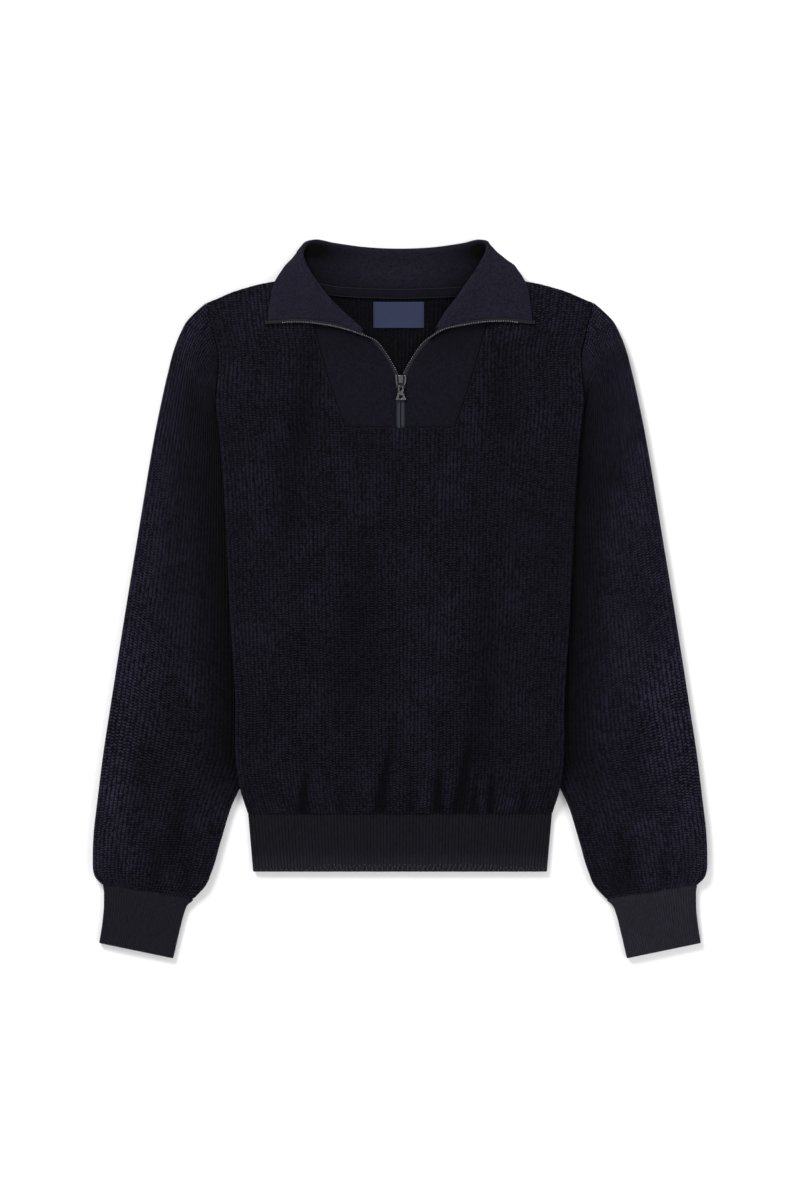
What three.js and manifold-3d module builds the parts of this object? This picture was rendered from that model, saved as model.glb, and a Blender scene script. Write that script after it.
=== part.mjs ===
// Quarter zip sweater in ribbed knit, laid flat on its back, front up.
//
// Millimetres. +X is to the right of the laid garment, +Y towards the neck, +Z up from the
// surface it lies on. Sizes in plan are given as x, measured from the centre line, and
// "high", measured up from the lower edge of the hem band. The garment is then moved so that
// its box stands centred on the origin.

import * as THREE from 'three';
import { mergeVertices } from 'three/addons/utils/BufferGeometryUtils.js';
import Module from 'manifold-3d';

const wasm = await Module();
wasm.setup();

// Cloth thicknesses and seam gap
const RIB_WALL = 3.0;
const BAND_WALL = 2.5;
const COLLAR_WALL = 2.3;
const SEAM = 0.3;

// Ribs: how far a rib stands proud, and how many show across each top
const RIB_RISE = 0.8;
const BAND_RIB_RISE = 0.7;
const FRONT_RIBS = 72;
const SLEEVE_RIBS = 25;
const CUFF_RIBS = 26;
const HEM_RIBS = 92;

// Plain strips across each smooth face
const TORSO_PLAIN = 24;
const HEM_PLAIN = 30;
const SLEEVE_PLAIN = 10;
const CUFF_PLAIN = 10;

// Hem band, as laid
const HEM_TALL = 58;
const HEM_HALF_TOP = 152.3;
const HEM_HALF_LOW = 147.2;
const BAND_THICK = 6.2;

// Torso, as laid: how far its sides are lifted by the sleeves tucked under them, over which
// width, and between which heights
const SIDE_LIFT = 7.0;
const LIFT_SPAN = 104;
const LIFT_RAMP = 90;
const LIFT_FULL = 88;
const LIFT_LESS = 470;
const LIFT_NONE = 520;
const ARMHOLE_LOW = 474;
const ARMHOLE_HIGH = 569.5;

// Space between front and back: at the sides, in the body and at the neck, where it changes,
// and how sharply the panels round down to the side seam
const EDGE_GAP = 0.4;
const BODY_GAP = 2.6;
const NECK_GAP = 1.0;
const GAP_FROM_HEM = 42;
const GAP_FULL = 84;
const GAP_LESS = 380;
const GAP_LEAST = 440;
const GAP_FADE_IN = 60;
const GAP_FADE_OUT = 4;
const TORSO_EDGE_POWER = 16;
const SEAM_RISE = 0.05;

// Half width of the front and back at heights above the hem's lower edge
const TORSO_SIDE = [
  { high: 58.4, half: 152.6 },
  { high: 80, half: 159.2 },
  { high: 95, half: 162 },
  { high: 175, half: 164.8 },
  { high: 272, half: 170.6 },
  { high: 349, half: 173.6 },
  { high: 391, half: 176.2 },
  { high: 434, half: 180 },
  { high: 472, half: 184 },
  { high: 515, half: 182.2 },
  { high: 542, half: 187.4 },
  { high: 570, half: 194.2 },
];

// Height of the shoulder seam at distances from the centre line
const SHOULDER = [
  { x: 0, high: 596 },
  { x: 102, high: 594.5 },
  { x: 125, high: 591 },
  { x: 159, high: 583 },
  { x: 194.2, high: 569 },
];

// Half width of the trapezoid that the placket fills, and of the neck above it
const PLACKET_SIDE = [
  { high: 444.6, half: 55 },
  { high: 470, half: 64 },
  { high: 497, half: 72.8 },
  { high: 533, half: 83 },
  { high: 573, half: 94.4 },
  { high: 600, half: 101.5 },
];

// Height of the back panel's neck edge at distances from the centre line
const BACK_NECK = [
  { x: 0, high: 577.9 },
  { x: 35, high: 578.8 },
  { x: 70, high: 581.6 },
  { x: 88, high: 585.8 },
  { x: 96, high: 589.2 },
  { x: 101.5, high: 600 },
];

// Rows of points up the torso; the last row lies on the shoulder seam
const TORSO_ROWS = [58.4, 64, 76, 92, 122, 180, 270, 370, 440, 472, 494, 518, 548];

// Gathers above the hem band: how far they reach the inner and the outer face, the share of
// their length at full depth, and for each its place, lean, length, half width and depth
const GATHER_INSIDE = 0.8;
const GATHER_OUTSIDE = 0.4;
const GATHER_FULL = 0.3;
const GATHERS = [
  { x: -97, lean: 3, tall: 40, wide: 6, deep: 1.7 },
  { x: -60, lean: 4, tall: 26, wide: 7, deep: 0.9 },
  { x: -21, lean: 5, tall: 62, wide: 6, deep: 2.3 },
  { x: 9, lean: 4, tall: 30, wide: 7, deep: 0.9 },
  { x: 37.5, lean: 1, tall: 48, wide: 6, deep: 1.9 },
  { x: 60, lean: 12, tall: 42, wide: 6, deep: 2.0 },
  { x: 90, lean: 2, tall: 24, wide: 7, deep: 1.2 },
  { x: 122, lean: 4, tall: 30, wide: 8, deep: 0.9 },
];

// Flattened tubes: how sharply their folds round, and where across them the level changes
const TUBE_EDGE_POWER = 10;
const TUBE_TOP_FROM = 0.45;
const TUBE_LOW_FROM = 0.55;

// Rings of the left sleeve from armhole to cuff: outer and inner edge in plan, underside and top
// at the inner edge, top at the crown, and how closely the ring follows the armhole seam
const SLEEVE_RINGS = [
  { ox: 194.4, oh: 569.6, ix: 184.4, ih: 474, low: 6.3, high: 12.9, crown: 6.7, seam: 1 },
  { ox: 203, oh: 562, ix: 183.75, ih: 466, low: 4.2, high: 11.1, crown: 8.8, seam: 0.7 },
  { ox: 213, oh: 552, ix: 181.2, ih: 455, low: 0, high: 6.7, crown: 7.8, seam: 0.35 },
  { ox: 220, oh: 539, ix: 176, ih: 439, low: 0, high: 6.6, crown: 9.2, seam: 0.1 },
  { ox: 226, oh: 524, ix: 169, ih: 417, low: 0, high: 6.6, crown: 9.6, seam: 0 },
  { ox: 232.6, oh: 499, ix: 164, ih: 385, low: 0, high: 6.6, crown: 9.8, seam: 0 },
  { ox: 240.6, oh: 463, ix: 160.5, ih: 345, low: 0, high: 6.6, crown: 9.8, seam: 0 },
  { ox: 264, oh: 328, ix: 154, ih: 225, low: 0, high: 6.6, crown: 9.8, seam: 0 },
  { ox: 289, oh: 172, ix: 151, ih: 112, low: 0, high: 6.6, crown: 9.8, seam: 0 },
  { ox: 297.4, oh: 117, ix: 158.5, ih: 88, low: 0, high: 6.8, crown: 9.9, seam: 0 },
  { ox: 303, oh: 72, ix: 169.6, ih: 63, low: 0, high: 8.2, crown: 10, seam: 0 },
  { ox: 307, oh: 36, ix: 179.6, ih: 30, low: 0, high: 9.0, crown: 10, seam: 0 },
  { ox: 307.8, oh: 8, ix: 188.6, ih: 0, low: 0, high: 9.2, crown: 9.8, seam: 0 },
  { ox: 304.8, oh: -6.4, ix: 196, ih: -16, low: 0, high: 8.4, crown: 8.8, seam: 0 },
  { ox: 298.6, oh: -12.8, ix: 206.4, ih: -27, low: 0, high: 6.8, crown: 6.8, seam: 0 },
];

// Rings of the left cuff from the sleeve down to its edge
const CUFF_RINGS = [
  { ox: 297.6, oh: -13.5, ix: 207.4, ih: -28.2, low: 0, high: 6.2, crown: 6.2, seam: 0 },
  { ox: 296.7, oh: -21, ix: 212.6, ih: -33.4, low: 0, high: 6.2, crown: 6.2, seam: 0 },
  { ox: 296.7, oh: -32, ix: 216.6, ih: -43, low: 0, high: 6.2, crown: 6.2, seam: 0 },
  { ox: 298, oh: -49, ix: 220.6, ih: -58.6, low: 0, high: 6.2, crown: 6.2, seam: 0 },
  { ox: 301.4, oh: -71.4, ix: 227.2, ih: -86.8, low: 0, high: 6.2, crown: 6.2, seam: 0 },
];

// Zip: centre line, half width of the slit in the placket, tape widths and thickness
const ZIP_X = 0.7;
const SLIT_HALF = 4.9;
const TAPE_CLOSED = 4.3;
const TAPE_OPEN = 3.2;
const TAPE_TURN = 1.7;
const TAPE_THICK = 1.5;
const STOP_LONG = 2.2;
const TAPE_WIDE_BELOW = 488;
const TAPE_NARROW_ABOVE = 508;
const TAPE_SLIT_ROWS = 7;

// Placket half: inner edge measured from the zip's centre line, its level, and the outer edge's
// height on the side of the trapezoid
const PLACKET_ROWS = [
  { x: SLIT_HALF, high: 444.9, z: 5.5, outer: 444.9 },
  { x: SLIT_HALF, high: 466, z: 5.5, outer: 464 },
  { x: SLIT_HALF, high: 488, z: 5.5, outer: 484 },
  { x: 7.6, high: 499.5, z: 5.8, outer: 496 },
  { x: 11.9, high: 508.4, z: 6.3, outer: 507 },
  { x: 19.4, high: 520, z: 7.3, outer: 519 },
  { x: 27, high: 529, z: 8.4, outer: 529 },
  { x: 36.7, high: 535.4, z: 9.2, outer: 538 },
  { x: 50.9, high: 546, z: 9.1, outer: 548 },
  { x: 66.9, high: 559, z: 8.4, outer: 559 },
  { x: 82.3, high: 571, z: 7.4, outer: 571 },
  { x: 92.6, high: 579.4, z: 6.4, outer: 580 },
];
const PLACKET_LEVEL = 5.5;
const PLACKET_LEVEL_AT = 0.85;
const PLACKET_STRIPS = 5;

// Collar stations from the front edge to the middle of the back: the seam to the neck, the roll
// line on each side, the free edge of the fall, the turn of the roll from over to under, and
// the bow of the fall between roll and free edge
const COLLAR_STATIONS = [
  { sx: 35.6, sh: 536.4, sz: 9.3, lx: 37.2, lh: 541.6, rx: 36.6, rh: 543.8, rz: 12.0,
    fx: 132.4, fh: 551.4, fz: 9.6, turn: 0, bow: 6 },
  { sx: 50.3, sh: 547.2, sz: 9.2, lx: 53.5, lh: 556, rx: 45.5, rh: 558.5, rz: 12.8,
    fx: 131.4, fh: 560.5, fz: 9.4, turn: 0, bow: 4 },
  { sx: 66.3, sh: 560.2, sz: 8.5, lx: 70, lh: 572, rx: 56, rh: 572, rz: 13.2,
    fx: 129.8, fh: 572, fz: 9.3, turn: 0, bow: 2 },
  { sx: 81.8, sh: 572.2, sz: 7.6, lx: 84.5, lh: 591, rx: 68.5, rh: 590, rz: 13.2,
    fx: 128.2, fh: 582, fz: 9.3, turn: 5, bow: 2 },
  { sx: 91.6, sh: 580.6, sz: 7.2, lx: 92.5, lh: 603.5, rx: 79, rh: 605.5, rz: 12.8,
    fx: 125.5, fh: 590.8, fz: 9.3, turn: 15, bow: 1 },
  { sx: 96.8, sh: 586.2, sz: 6.8, lx: 97, lh: 613.5, rx: 85, rh: 616, rz: 11.8,
    fx: 121, fh: 601, fz: 7.2, turn: 40, bow: 2 },
  { sx: 97, sh: 591.4, sz: 5.4, lx: 98, lh: 622, rx: 88.5, rh: 624.5, rz: 8.8,
    fx: 116.2, fh: 606.6, fz: 3.6, turn: 80, bow: 4 },
  { sx: 91.6, sh: 590.6, sz: 3.9, lx: 94.5, lh: 629, rx: 87, rh: 630, rz: 5.2,
    fx: 103, fh: 602.6, fz: 1.5, turn: 125, bow: 1 },
  { sx: 84, sh: 586.6, sz: 3.9, lx: 86, lh: 632, rx: 80, rh: 632, rz: 3.7,
    fx: 90, fh: 594, fz: 1.25, turn: 168, bow: 0 },
  { sx: 68, sh: 583.2, sz: 3.85, lx: 67, lh: 629, rx: 65, rh: 629, rz: 2.85,
    fx: 70, fh: 589, fz: 1.25, turn: 180, bow: 0 },
  { sx: 34, sh: 580.6, sz: 3.85, lx: 34, lh: 624.5, rx: 34, rh: 624.5, rz: 2.8,
    fx: 35, fh: 586.4, fz: 1.25, turn: 180, bow: 0 },
  { sx: 0, sh: 579.6, sz: 3.85, lx: 0, lh: 623, rx: 0, rh: 623, rz: 2.8,
    fx: 0, fh: 585.4, fz: 1.25, turn: 180, bow: 0 },
];
const ROLL_RADIUS = 1.6;
const ROLL_TURNS = [-90, -45, 0, 45, 90];
const ROLL_END = 6;
const FALL_SHARES = [0.3, 0.65];

// Band over the back neck seam, with its rows measured from the seam, and the label below it
const NECK_TAPE_LEFT = -80;
const NECK_TAPE_RIGHT = 70;
const NECK_TAPE_STRIPS = 12;
const NECK_TAPE_THICK = 1.1;
const NECK_TAPE_ROWS = [
  { above: -3.6, level: 4.4 },
  { above: 0, level: 5.55 },
  { above: 4.6, level: 6.15 },
];
const LABEL = { left: -26.6, right: 24, low: 544.6, top: 570.6, thick: 0.6 };

// Zip slider and pull; the plate's half widths go up from its lower end
const SLIDER_LOW = 484;
const SLIDER_SIDE = [
  { above: 0, half: 4.6 },
  { above: 5, half: 4.8 },
  { above: 10, half: 5.7 },
  { above: 13, half: 4.7 },
];
const SLIDER_PLATE_UNDER = 3.35;
const SLIDER_PLATE_OVER = 7.05;
const SLIDER_UNDER_THICK = 0.65;
const SLIDER_OVER_THICK = 1.1;
const POST_HIGH = 494.9;
const POST_RADIUS = 0.85;
const EYE_HIGH = 485.6;
const EYE_OUTER = 2.1;
const EYE_HOLE = 1.25;
const EYE_WIDE = 1.8;
const EYE_SUNK = 0.5;
const ROUND_SIDES = 12;
const PULL_THICK = 1.2;
const PULL_BAR_HALF = 0.65;
const PULL_FRAME_HALF = 3.0;
const PULL_WINDOW_HALF = 1.7;
const PULL_WINDOW_LONG = 4.2;
const PULL_SHOULDER_LONG = 4.6;
const PULL_NECK_LONG = 6.2;
const PULL_NECK_HALF = 2.1;
const PULL_TAB_LONG = 13.6;
const PULL_TAB_HALF = 5.0;
const PULL_CORNER = 0.9;
const PULL_HOLE_RADIUS = 1.5;
const PULL_HOLE_AT = 10.6;
const PULL_DROOP = THREE.MathUtils.degToRad(7);

// Depth of the blocks that cut the panels
const CUT_LOW = -5;
const CUT_TALL = 40;

// Colours and finishes
const RIB_KNIT = new THREE.MeshStandardMaterial({ color: 0x15141d, roughness: 0.95 });
const BAND_KNIT = new THREE.MeshStandardMaterial({ color: 0x17161f, roughness: 0.95 });
const SMOOTH_KNIT = new THREE.MeshStandardMaterial({ color: 0x1c1b28, roughness: 0.92 });
const WOVEN_LABEL = new THREE.MeshStandardMaterial({ color: 0x1f2c50, roughness: 0.8 });
const TAPE_CLOTH = new THREE.MeshStandardMaterial({ color: 0x2c2d36, roughness: 0.85 });
const ZIP_METAL = new THREE.MeshStandardMaterial({ color: 0x9a9a9c, roughness: 0.35, metalness: 1 });

/** Value between two numbers. */
function lerp(from, to, share) {
  return from + (to - from) * share;
}

/** Rises smoothly from 0 at one value to 1 at another. */
function ease(from, to, value) {
  const share = Math.min(1, Math.max(0, (value - from) / (to - from)));
  return share * share * (3 - 2 * share);
}

/** Reads a column of a table at a place between its rows. */
function readTable(table, key, column, place) {
  let row = 0;
  while (row < table.length - 2 && place > table[row + 1][key]) {
    row += 1;
  }
  const share = (place - table[row][key]) / (table[row + 1][key] - table[row][key]);
  return lerp(table[row][column], table[row + 1][column], Math.min(1, Math.max(0, share)));
}

const torsoHalf = (high) => readTable(TORSO_SIDE, 'high', 'half', high);
const shoulderHigh = (x) => readTable(SHOULDER, 'x', 'high', Math.abs(x));
const placketHalf = (high) => readTable(PLACKET_SIDE, 'high', 'half', high);
const backNeckHigh = (x) => readTable(BACK_NECK, 'x', 'high', Math.abs(x));

/** Height share of a flattened round edge: 1 inside, 0 at across = -1 and 1. */
function edgeShare(across, power) {
  return Math.pow(Math.max(0, 1 - Math.pow(Math.abs(across), power)), 1 / power);
}

/** Evenly spaced values from first to last. */
function steps(first, last, count) {
  return Array.from({ length: count + 1 }, (_, index) => lerp(first, last, index / count));
}

/** Collects triangles from shared points and turns them into a geometry. */
class Skin {
  constructor() {
    this.points = [];
    this.faces = [];
  }

  grid(rows) {
    const start = this.points.length;
    const wide = rows[0].length;
    rows.forEach((row) => this.points.push(...row));
    return rows.map((row, index) => row.map((_, place) => start + index * wide + place));
  }

  face(a, b, c) {
    this.faces.push(a, b, c);
  }

  /** Fills a grid of point numbers with triangles, turned over if asked. */
  fill(ids, over) {
    for (let row = 0; row + 1 < ids.length; row += 1) {
      for (let place = 0; place + 1 < ids[row].length; place += 1) {
        const a = ids[row][place];
        const b = ids[row][place + 1];
        const c = ids[row + 1][place + 1];
        const d = ids[row + 1][place];
        if (over) {
          this.face(a, c, b);
          this.face(a, d, c);
        } else {
          this.face(a, b, c);
          this.face(a, c, d);
        }
      }
    }
  }

  /** Closes the strip between two lines of points that may differ in number. */
  bridge(first, firstPlaces, second, secondPlaces) {
    let i = 0;
    let j = 0;
    while (i + 1 < first.length || j + 1 < second.length) {
      const halfway = (secondPlaces[j] + secondPlaces[j + 1]) / 2;
      const onFirst = j + 1 >= second.length
        || (i + 1 < first.length && firstPlaces[i + 1] <= halfway);
      if (onFirst) {
        this.face(first[i + 1], first[i], second[j]);
        i += 1;
      } else {
        this.face(second[j], second[j + 1], first[i]);
        j += 1;
      }
    }
  }

  geometry() {
    const shape = new THREE.BufferGeometry();
    const places = new Float32Array(this.points.flatMap((point) => [point.x, point.y, point.z]));
    shape.setAttribute('position', new THREE.BufferAttribute(places, 3));
    shape.setIndex(this.faces);
    const merged = mergeVertices(shape, 1e-4);
    return outward(merged);
  }
}

/** Turns a closed geometry's faces out if its volume comes out negative. */
function outward(shape) {
  const place = shape.getAttribute('position');
  const index = shape.index.array;
  const corners = [new THREE.Vector3(), new THREE.Vector3(), new THREE.Vector3()];
  let volume = 0;
  for (let face = 0; face < index.length; face += 3) {
    corners.forEach((corner, n) => corner.fromBufferAttribute(place, index[face + n]));
    volume += corners[0].dot(corners[1].clone().cross(corners[2]));
  }
  if (volume < 0) {
    for (let face = 0; face < index.length; face += 3) {
      [index[face + 1], index[face + 2]] = [index[face + 2], index[face + 1]];
    }
  }
  return shape;
}

/** Closed wall between an outer and an inner open sheet of points. */
function sheetWall(outer, outerAcross, inner, innerAcross) {
  const skin = new Skin();
  const out = skin.grid(outer);
  const back = skin.grid(inner);
  skin.fill(out, false);
  skin.fill(back, true);
  const column = (ids, place) => ids.map((row) => row.at(place));
  const rowShares = steps(0, 1, outer.length - 1);
  const turned = (list) => [...list].reverse();
  const flipped = (shares) => turned(shares).map((share) => 1 - share);
  skin.bridge(out[0], outerAcross, back[0], innerAcross);
  skin.bridge(column(out, -1), rowShares, column(back, -1), rowShares);
  skin.bridge(turned(out.at(-1)), flipped(outerAcross), turned(back.at(-1)), flipped(innerAcross));
  skin.bridge(turned(column(out, 0)), rowShares, turned(column(back, 0)), rowShares);
  return skin.geometry();
}

/** Closed wall between an outer and an inner tube of points, open at both ends. */
function tubeWall(outer, outerRound, inner, innerRound) {
  const skin = new Skin();
  const close = (ids) => ids.map((row) => [...row, row[0]]);
  const out = close(skin.grid(outer));
  const back = close(skin.grid(inner));
  const turned = (list) => [...list].reverse();
  const flipped = (shares) => turned(shares).map((share) => 1 - share);
  skin.fill(out, false);
  skin.fill(back, true);
  skin.bridge(out[0], outerRound, back[0], innerRound);
  skin.bridge(turned(out.at(-1)), flipped(outerRound), turned(back.at(-1)), flipped(innerRound));
  return skin.geometry();
}

/** Makes a solid for joining and cutting from a closed geometry. */
function solidOf(shape) {
  const bare = shape.clone();
  bare.deleteAttribute('normal');
  bare.deleteAttribute('uv');
  const merged = mergeVertices(bare, 1e-4);
  return new wasm.Manifold(new wasm.Mesh({
    numProp: 3,
    vertProperties: new Float32Array(merged.getAttribute('position').array),
    triVerts: new Uint32Array(merged.index.array),
  }));
}

/** Turns a solid back into a geometry. */
function shapeOf(solid) {
  const mesh = solid.getMesh();
  const shape = new THREE.BufferGeometry();
  shape.setAttribute('position', new THREE.BufferAttribute(new Float32Array(mesh.vertProperties), 3));
  shape.setIndex(Array.from(mesh.triVerts));
  return shape;
}

/** Upright prism over a closed outline of [x, high] corners. */
function prism(corners, low, tall) {
  const outline = new THREE.Shape(corners.map(([x, high]) => new THREE.Vector2(x, high)));
  const shape = new THREE.ExtrudeGeometry(outline, { depth: tall, bevelEnabled: false });
  return shape.translate(0, 0, low);
}

/** How far the torso's sides are lifted by the sleeves under them. */
function sideLift(x, high) {
  const along = ease(HEM_TALL, LIFT_FULL, high) * (1 - ease(LIFT_LESS, LIFT_NONE, high));
  const start = torsoHalf(high) - LIFT_SPAN;
  return SIDE_LIFT * along * ease(start, start + LIFT_RAMP, Math.abs(x));
}

/** Space left between the back's inner face and the front's. */
function panelGap(x, high) {
  const body = lerp(BODY_GAP, NECK_GAP, ease(GAP_LESS, GAP_LEAST, high));
  const centre = body * ease(GAP_FROM_HEM, GAP_FULL, high);
  const half = torsoHalf(high);
  return EDGE_GAP + centre * (1 - ease(half - GAP_FADE_IN, half - GAP_FADE_OUT, Math.abs(x)));
}

/** Depth of the gathers above the hem band. */
function gatherDepth(x, high) {
  const up = high - HEM_TALL;
  return GATHERS.reduce((sum, fold) => {
    const centre = fold.x + fold.lean * (up / fold.tall);
    const across = Math.exp(-(((x - centre) / fold.wide) ** 2));
    return sum + fold.deep * across * (1 - ease(fold.tall * GATHER_FULL, fold.tall, up));
  }, 0);
}

/** Height of the front's inner face. */
function frontUnder(x, high) {
  const gap = panelGap(x, high);
  const sunk = GATHER_INSIDE * gatherDepth(x, high) * gap / (BODY_GAP + EDGE_GAP);
  return sideLift(x, high) + RIB_WALL + gap - sunk;
}

/** Height of the side seam between front and back. */
function seamLevel(high) {
  return sideLift(torsoHalf(high), high) + RIB_WALL + SEAM / 2 + SEAM_RISE;
}

/** Row of the torso at a height; the last row follows the shoulder. */
function torsoPlan(across, row, inset) {
  const last = row === TORSO_ROWS.length;
  const guess = last ? ARMHOLE_HIGH : TORSO_ROWS[row];
  const x = across * (torsoHalf(guess) - inset);
  return [x, last ? shoulderHigh(x) : guess];
}

/** The ribbed front, rolled down at the side seams. */
function frontPanel() {
  const rows = [...TORSO_ROWS.keys(), TORSO_ROWS.length];
  const fine = steps(-1, 1, FRONT_RIBS * 2);
  const plain = steps(-1, 1, TORSO_PLAIN);
  const outer = rows.map((row) => fine.map((across, place) => {
    const [x, high] = torsoPlan(across, row, 0);
    const edge = edgeShare(across, TORSO_EDGE_POWER);
    const rib = (place % 2 ? 0.5 : -0.5) * RIB_RISE;
    const top = frontUnder(x, high) + RIB_WALL + rib - gatherDepth(x, high) * GATHER_OUTSIDE;
    const seam = seamLevel(high) + SEAM / 2;
    return new THREE.Vector3(x, high, lerp(seam, top, edge));
  }));
  const inner = rows.map((row) => plain.map((across) => {
    const [x, high] = torsoPlan(across, row, RIB_WALL);
    const seam = seamLevel(high) + SEAM / 2;
    return new THREE.Vector3(x, high, Math.abs(across) === 1 ? seam : frontUnder(x, high));
  }));
  const share = (list) => list.map((across) => (across + 1) / 2);
  const panel = sheetWall(outer, share(fine), inner, share(plain));
  const highs = PLACKET_SIDE.map((row) => row.high);
  const side = (sign) => highs.map((high) => [sign * placketHalf(high), high]);
  const opening = [...side(-1).reverse(), ...side(1)];
  const cut = solidOf(panel).subtract(solidOf(prism(opening, CUT_LOW, CUT_TALL)));
  return shapeOf(cut);
}

/** The back, flat on the surface but for its lifted sides. */
function backPanel() {
  const rows = [...TORSO_ROWS.keys(), TORSO_ROWS.length];
  const plain = steps(-1, 1, TORSO_PLAIN);
  const under = rows.map((row) => plain.map((across) => {
    const [x, high] = torsoPlan(across, row, 0);
    const edge = edgeShare(across, TORSO_EDGE_POWER);
    const seam = seamLevel(high) - SEAM / 2;
    return new THREE.Vector3(x, high, lerp(seam, sideLift(x, high), edge));
  }));
  const top = rows.map((row) => plain.map((across) => {
    const [x, high] = torsoPlan(across, row, RIB_WALL);
    const seam = seamLevel(high) - SEAM / 2;
    const inside = sideLift(x, high) + RIB_WALL;
    return new THREE.Vector3(x, high, Math.abs(across) === 1 ? seam : inside);
  }));
  const share = plain.map((across) => (across + 1) / 2);
  const panel = sheetWall(under, share, top, share);
  const edge = BACK_NECK.map((row) => [row.x, row.high]);
  const left = BACK_NECK.slice(1).reverse().map((row) => [-row.x, row.high]);
  const cut = solidOf(panel).subtract(solidOf(prism([...left, ...edge], CUT_LOW, CUT_TALL)));
  return shapeOf(cut);
}

/** Place in plan on a ring of a flattened tube, from its outer to its inner edge. */
function ringPlan(ring, share, inset) {
  const along = new THREE.Vector2(ring.ix - ring.ox, ring.ih - ring.oh);
  const inside = inset / along.length();
  const place = lerp(inside, 1 - inside, share);
  const straight = new THREE.Vector2(ring.ox, ring.oh).addScaledVector(along, place);
  const high = lerp(ARMHOLE_HIGH, ARMHOLE_LOW, place);
  const first = SLEEVE_RINGS[0];
  const chord = lerp(first.ox, first.ix, place);
  straight.x += ring.seam * (torsoHalf(high) + SEAM - chord);
  return straight;
}

/** Point on a flattened tube's ring. */
function ringPoint(ring, share, above, wall, rib) {
  const plan = ringPlan(ring, share, wall);
  const top = lerp(ring.crown, ring.high, ease(TUBE_TOP_FROM, 1, share));
  const low = ring.low * ease(TUBE_LOW_FROM, 1, share);
  const half = (top - low) / 2 - wall;
  const edge = edgeShare(2 * share - 1, TUBE_EDGE_POWER);
  const level = (top + low) / 2 + (above ? half + rib : -half) * edge;
  return new THREE.Vector3(-plan.x, plan.y, level);
}

/** A flattened tube through rings, ribbed on top, plain inside and flat below. */
function flatTube(rings, ribs, rise, wall, plainCount) {
  const ribbed = steps(0, 1, ribs * 2);
  const plain = steps(0, 1, plainCount);
  const loop = (ring, tops, inset, height) => [
    ...tops.map((share, place) => ringPoint(ring, share, true, inset, height(place))),
    ...plain.slice(1, -1).reverse().map((share) => ringPoint(ring, share, false, inset, 0)),
  ];
  const round = (tops) => [
    ...tops.map((share) => share / 2),
    ...plain.slice(1, -1).reverse().map((share) => 1 - share / 2),
    1,
  ];
  const ripple = (place) => (place % 2 ? 0 : -1) * rise;
  const outer = rings.map((ring) => loop(ring, ribbed, 0, ripple));
  const inner = rings.map((ring) => loop(ring, plain, wall, () => 0));
  return tubeWall(outer, round(ribbed), inner, round(plain));
}

/** Copy of a geometry turned over to the other side of x = centre. */
function mirrored(shape, centre = 0) {
  const copy = shape.clone();
  const place = copy.getAttribute('position');
  for (let index = 0; index < place.count; index += 1) {
    place.setX(index, 2 * centre - place.getX(index));
  }
  return outward(copy);
}

/** The hem band: a tube across the garment, folded flat at its sides. */
function hemBand() {
  const row = (high) => {
    const half = lerp(HEM_HALF_LOW, HEM_HALF_TOP, high / HEM_TALL);
    const edges = { ox: half, oh: high, ix: -half, ih: high };
    return { ...edges, low: 0, high: BAND_THICK, crown: BAND_THICK, seam: 0 };
  };
  return flatTube([HEM_TALL, 0].map(row), HEM_RIBS, BAND_RIB_RISE, BAND_WALL, HEM_PLAIN);
}

/** Unit normals of a grid of points, from its neighbours along and across. */
function gridNormals(rows) {
  return rows.map((row, i) => row.map((_, j) => {
    const along = rows[Math.min(i + 1, rows.length - 1)][j].clone()
      .sub(rows[Math.max(i - 1, 0)][j]);
    const across = row[Math.min(j + 1, row.length - 1)].clone().sub(row[Math.max(j - 1, 0)]);
    return along.cross(across).normalize();
  }));
}

/** Wall of even thickness about a middle sheet of points. */
function evenWall(rows, thick) {
  const normals = gridNormals(rows);
  const moved = (side) => rows.map((row, i) => row.map((point, j) => (
    point.clone().addScaledVector(normals[i][j], side * thick / 2))));
  const share = steps(0, 1, rows[0].length - 1);
  return sheetWall(moved(1), share, moved(-1), share);
}

/** Middle sheet of a placket half; side is -1 on the left and 1 on the right. */
function placketSheet(side) {
  const across = steps(0, 1, PLACKET_STRIPS);
  return PLACKET_ROWS.map((row) => {
    const outer = placketHalf(row.outer) - SEAM;
    return across.map((share) => {
      const x = lerp(ZIP_X + side * row.x, side * outer, share);
      const level = lerp(row.z, PLACKET_LEVEL, ease(0, PLACKET_LEVEL_AT, share));
      return new THREE.Vector3(x, lerp(row.high, row.outer, share), level);
    });
  });
}

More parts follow.
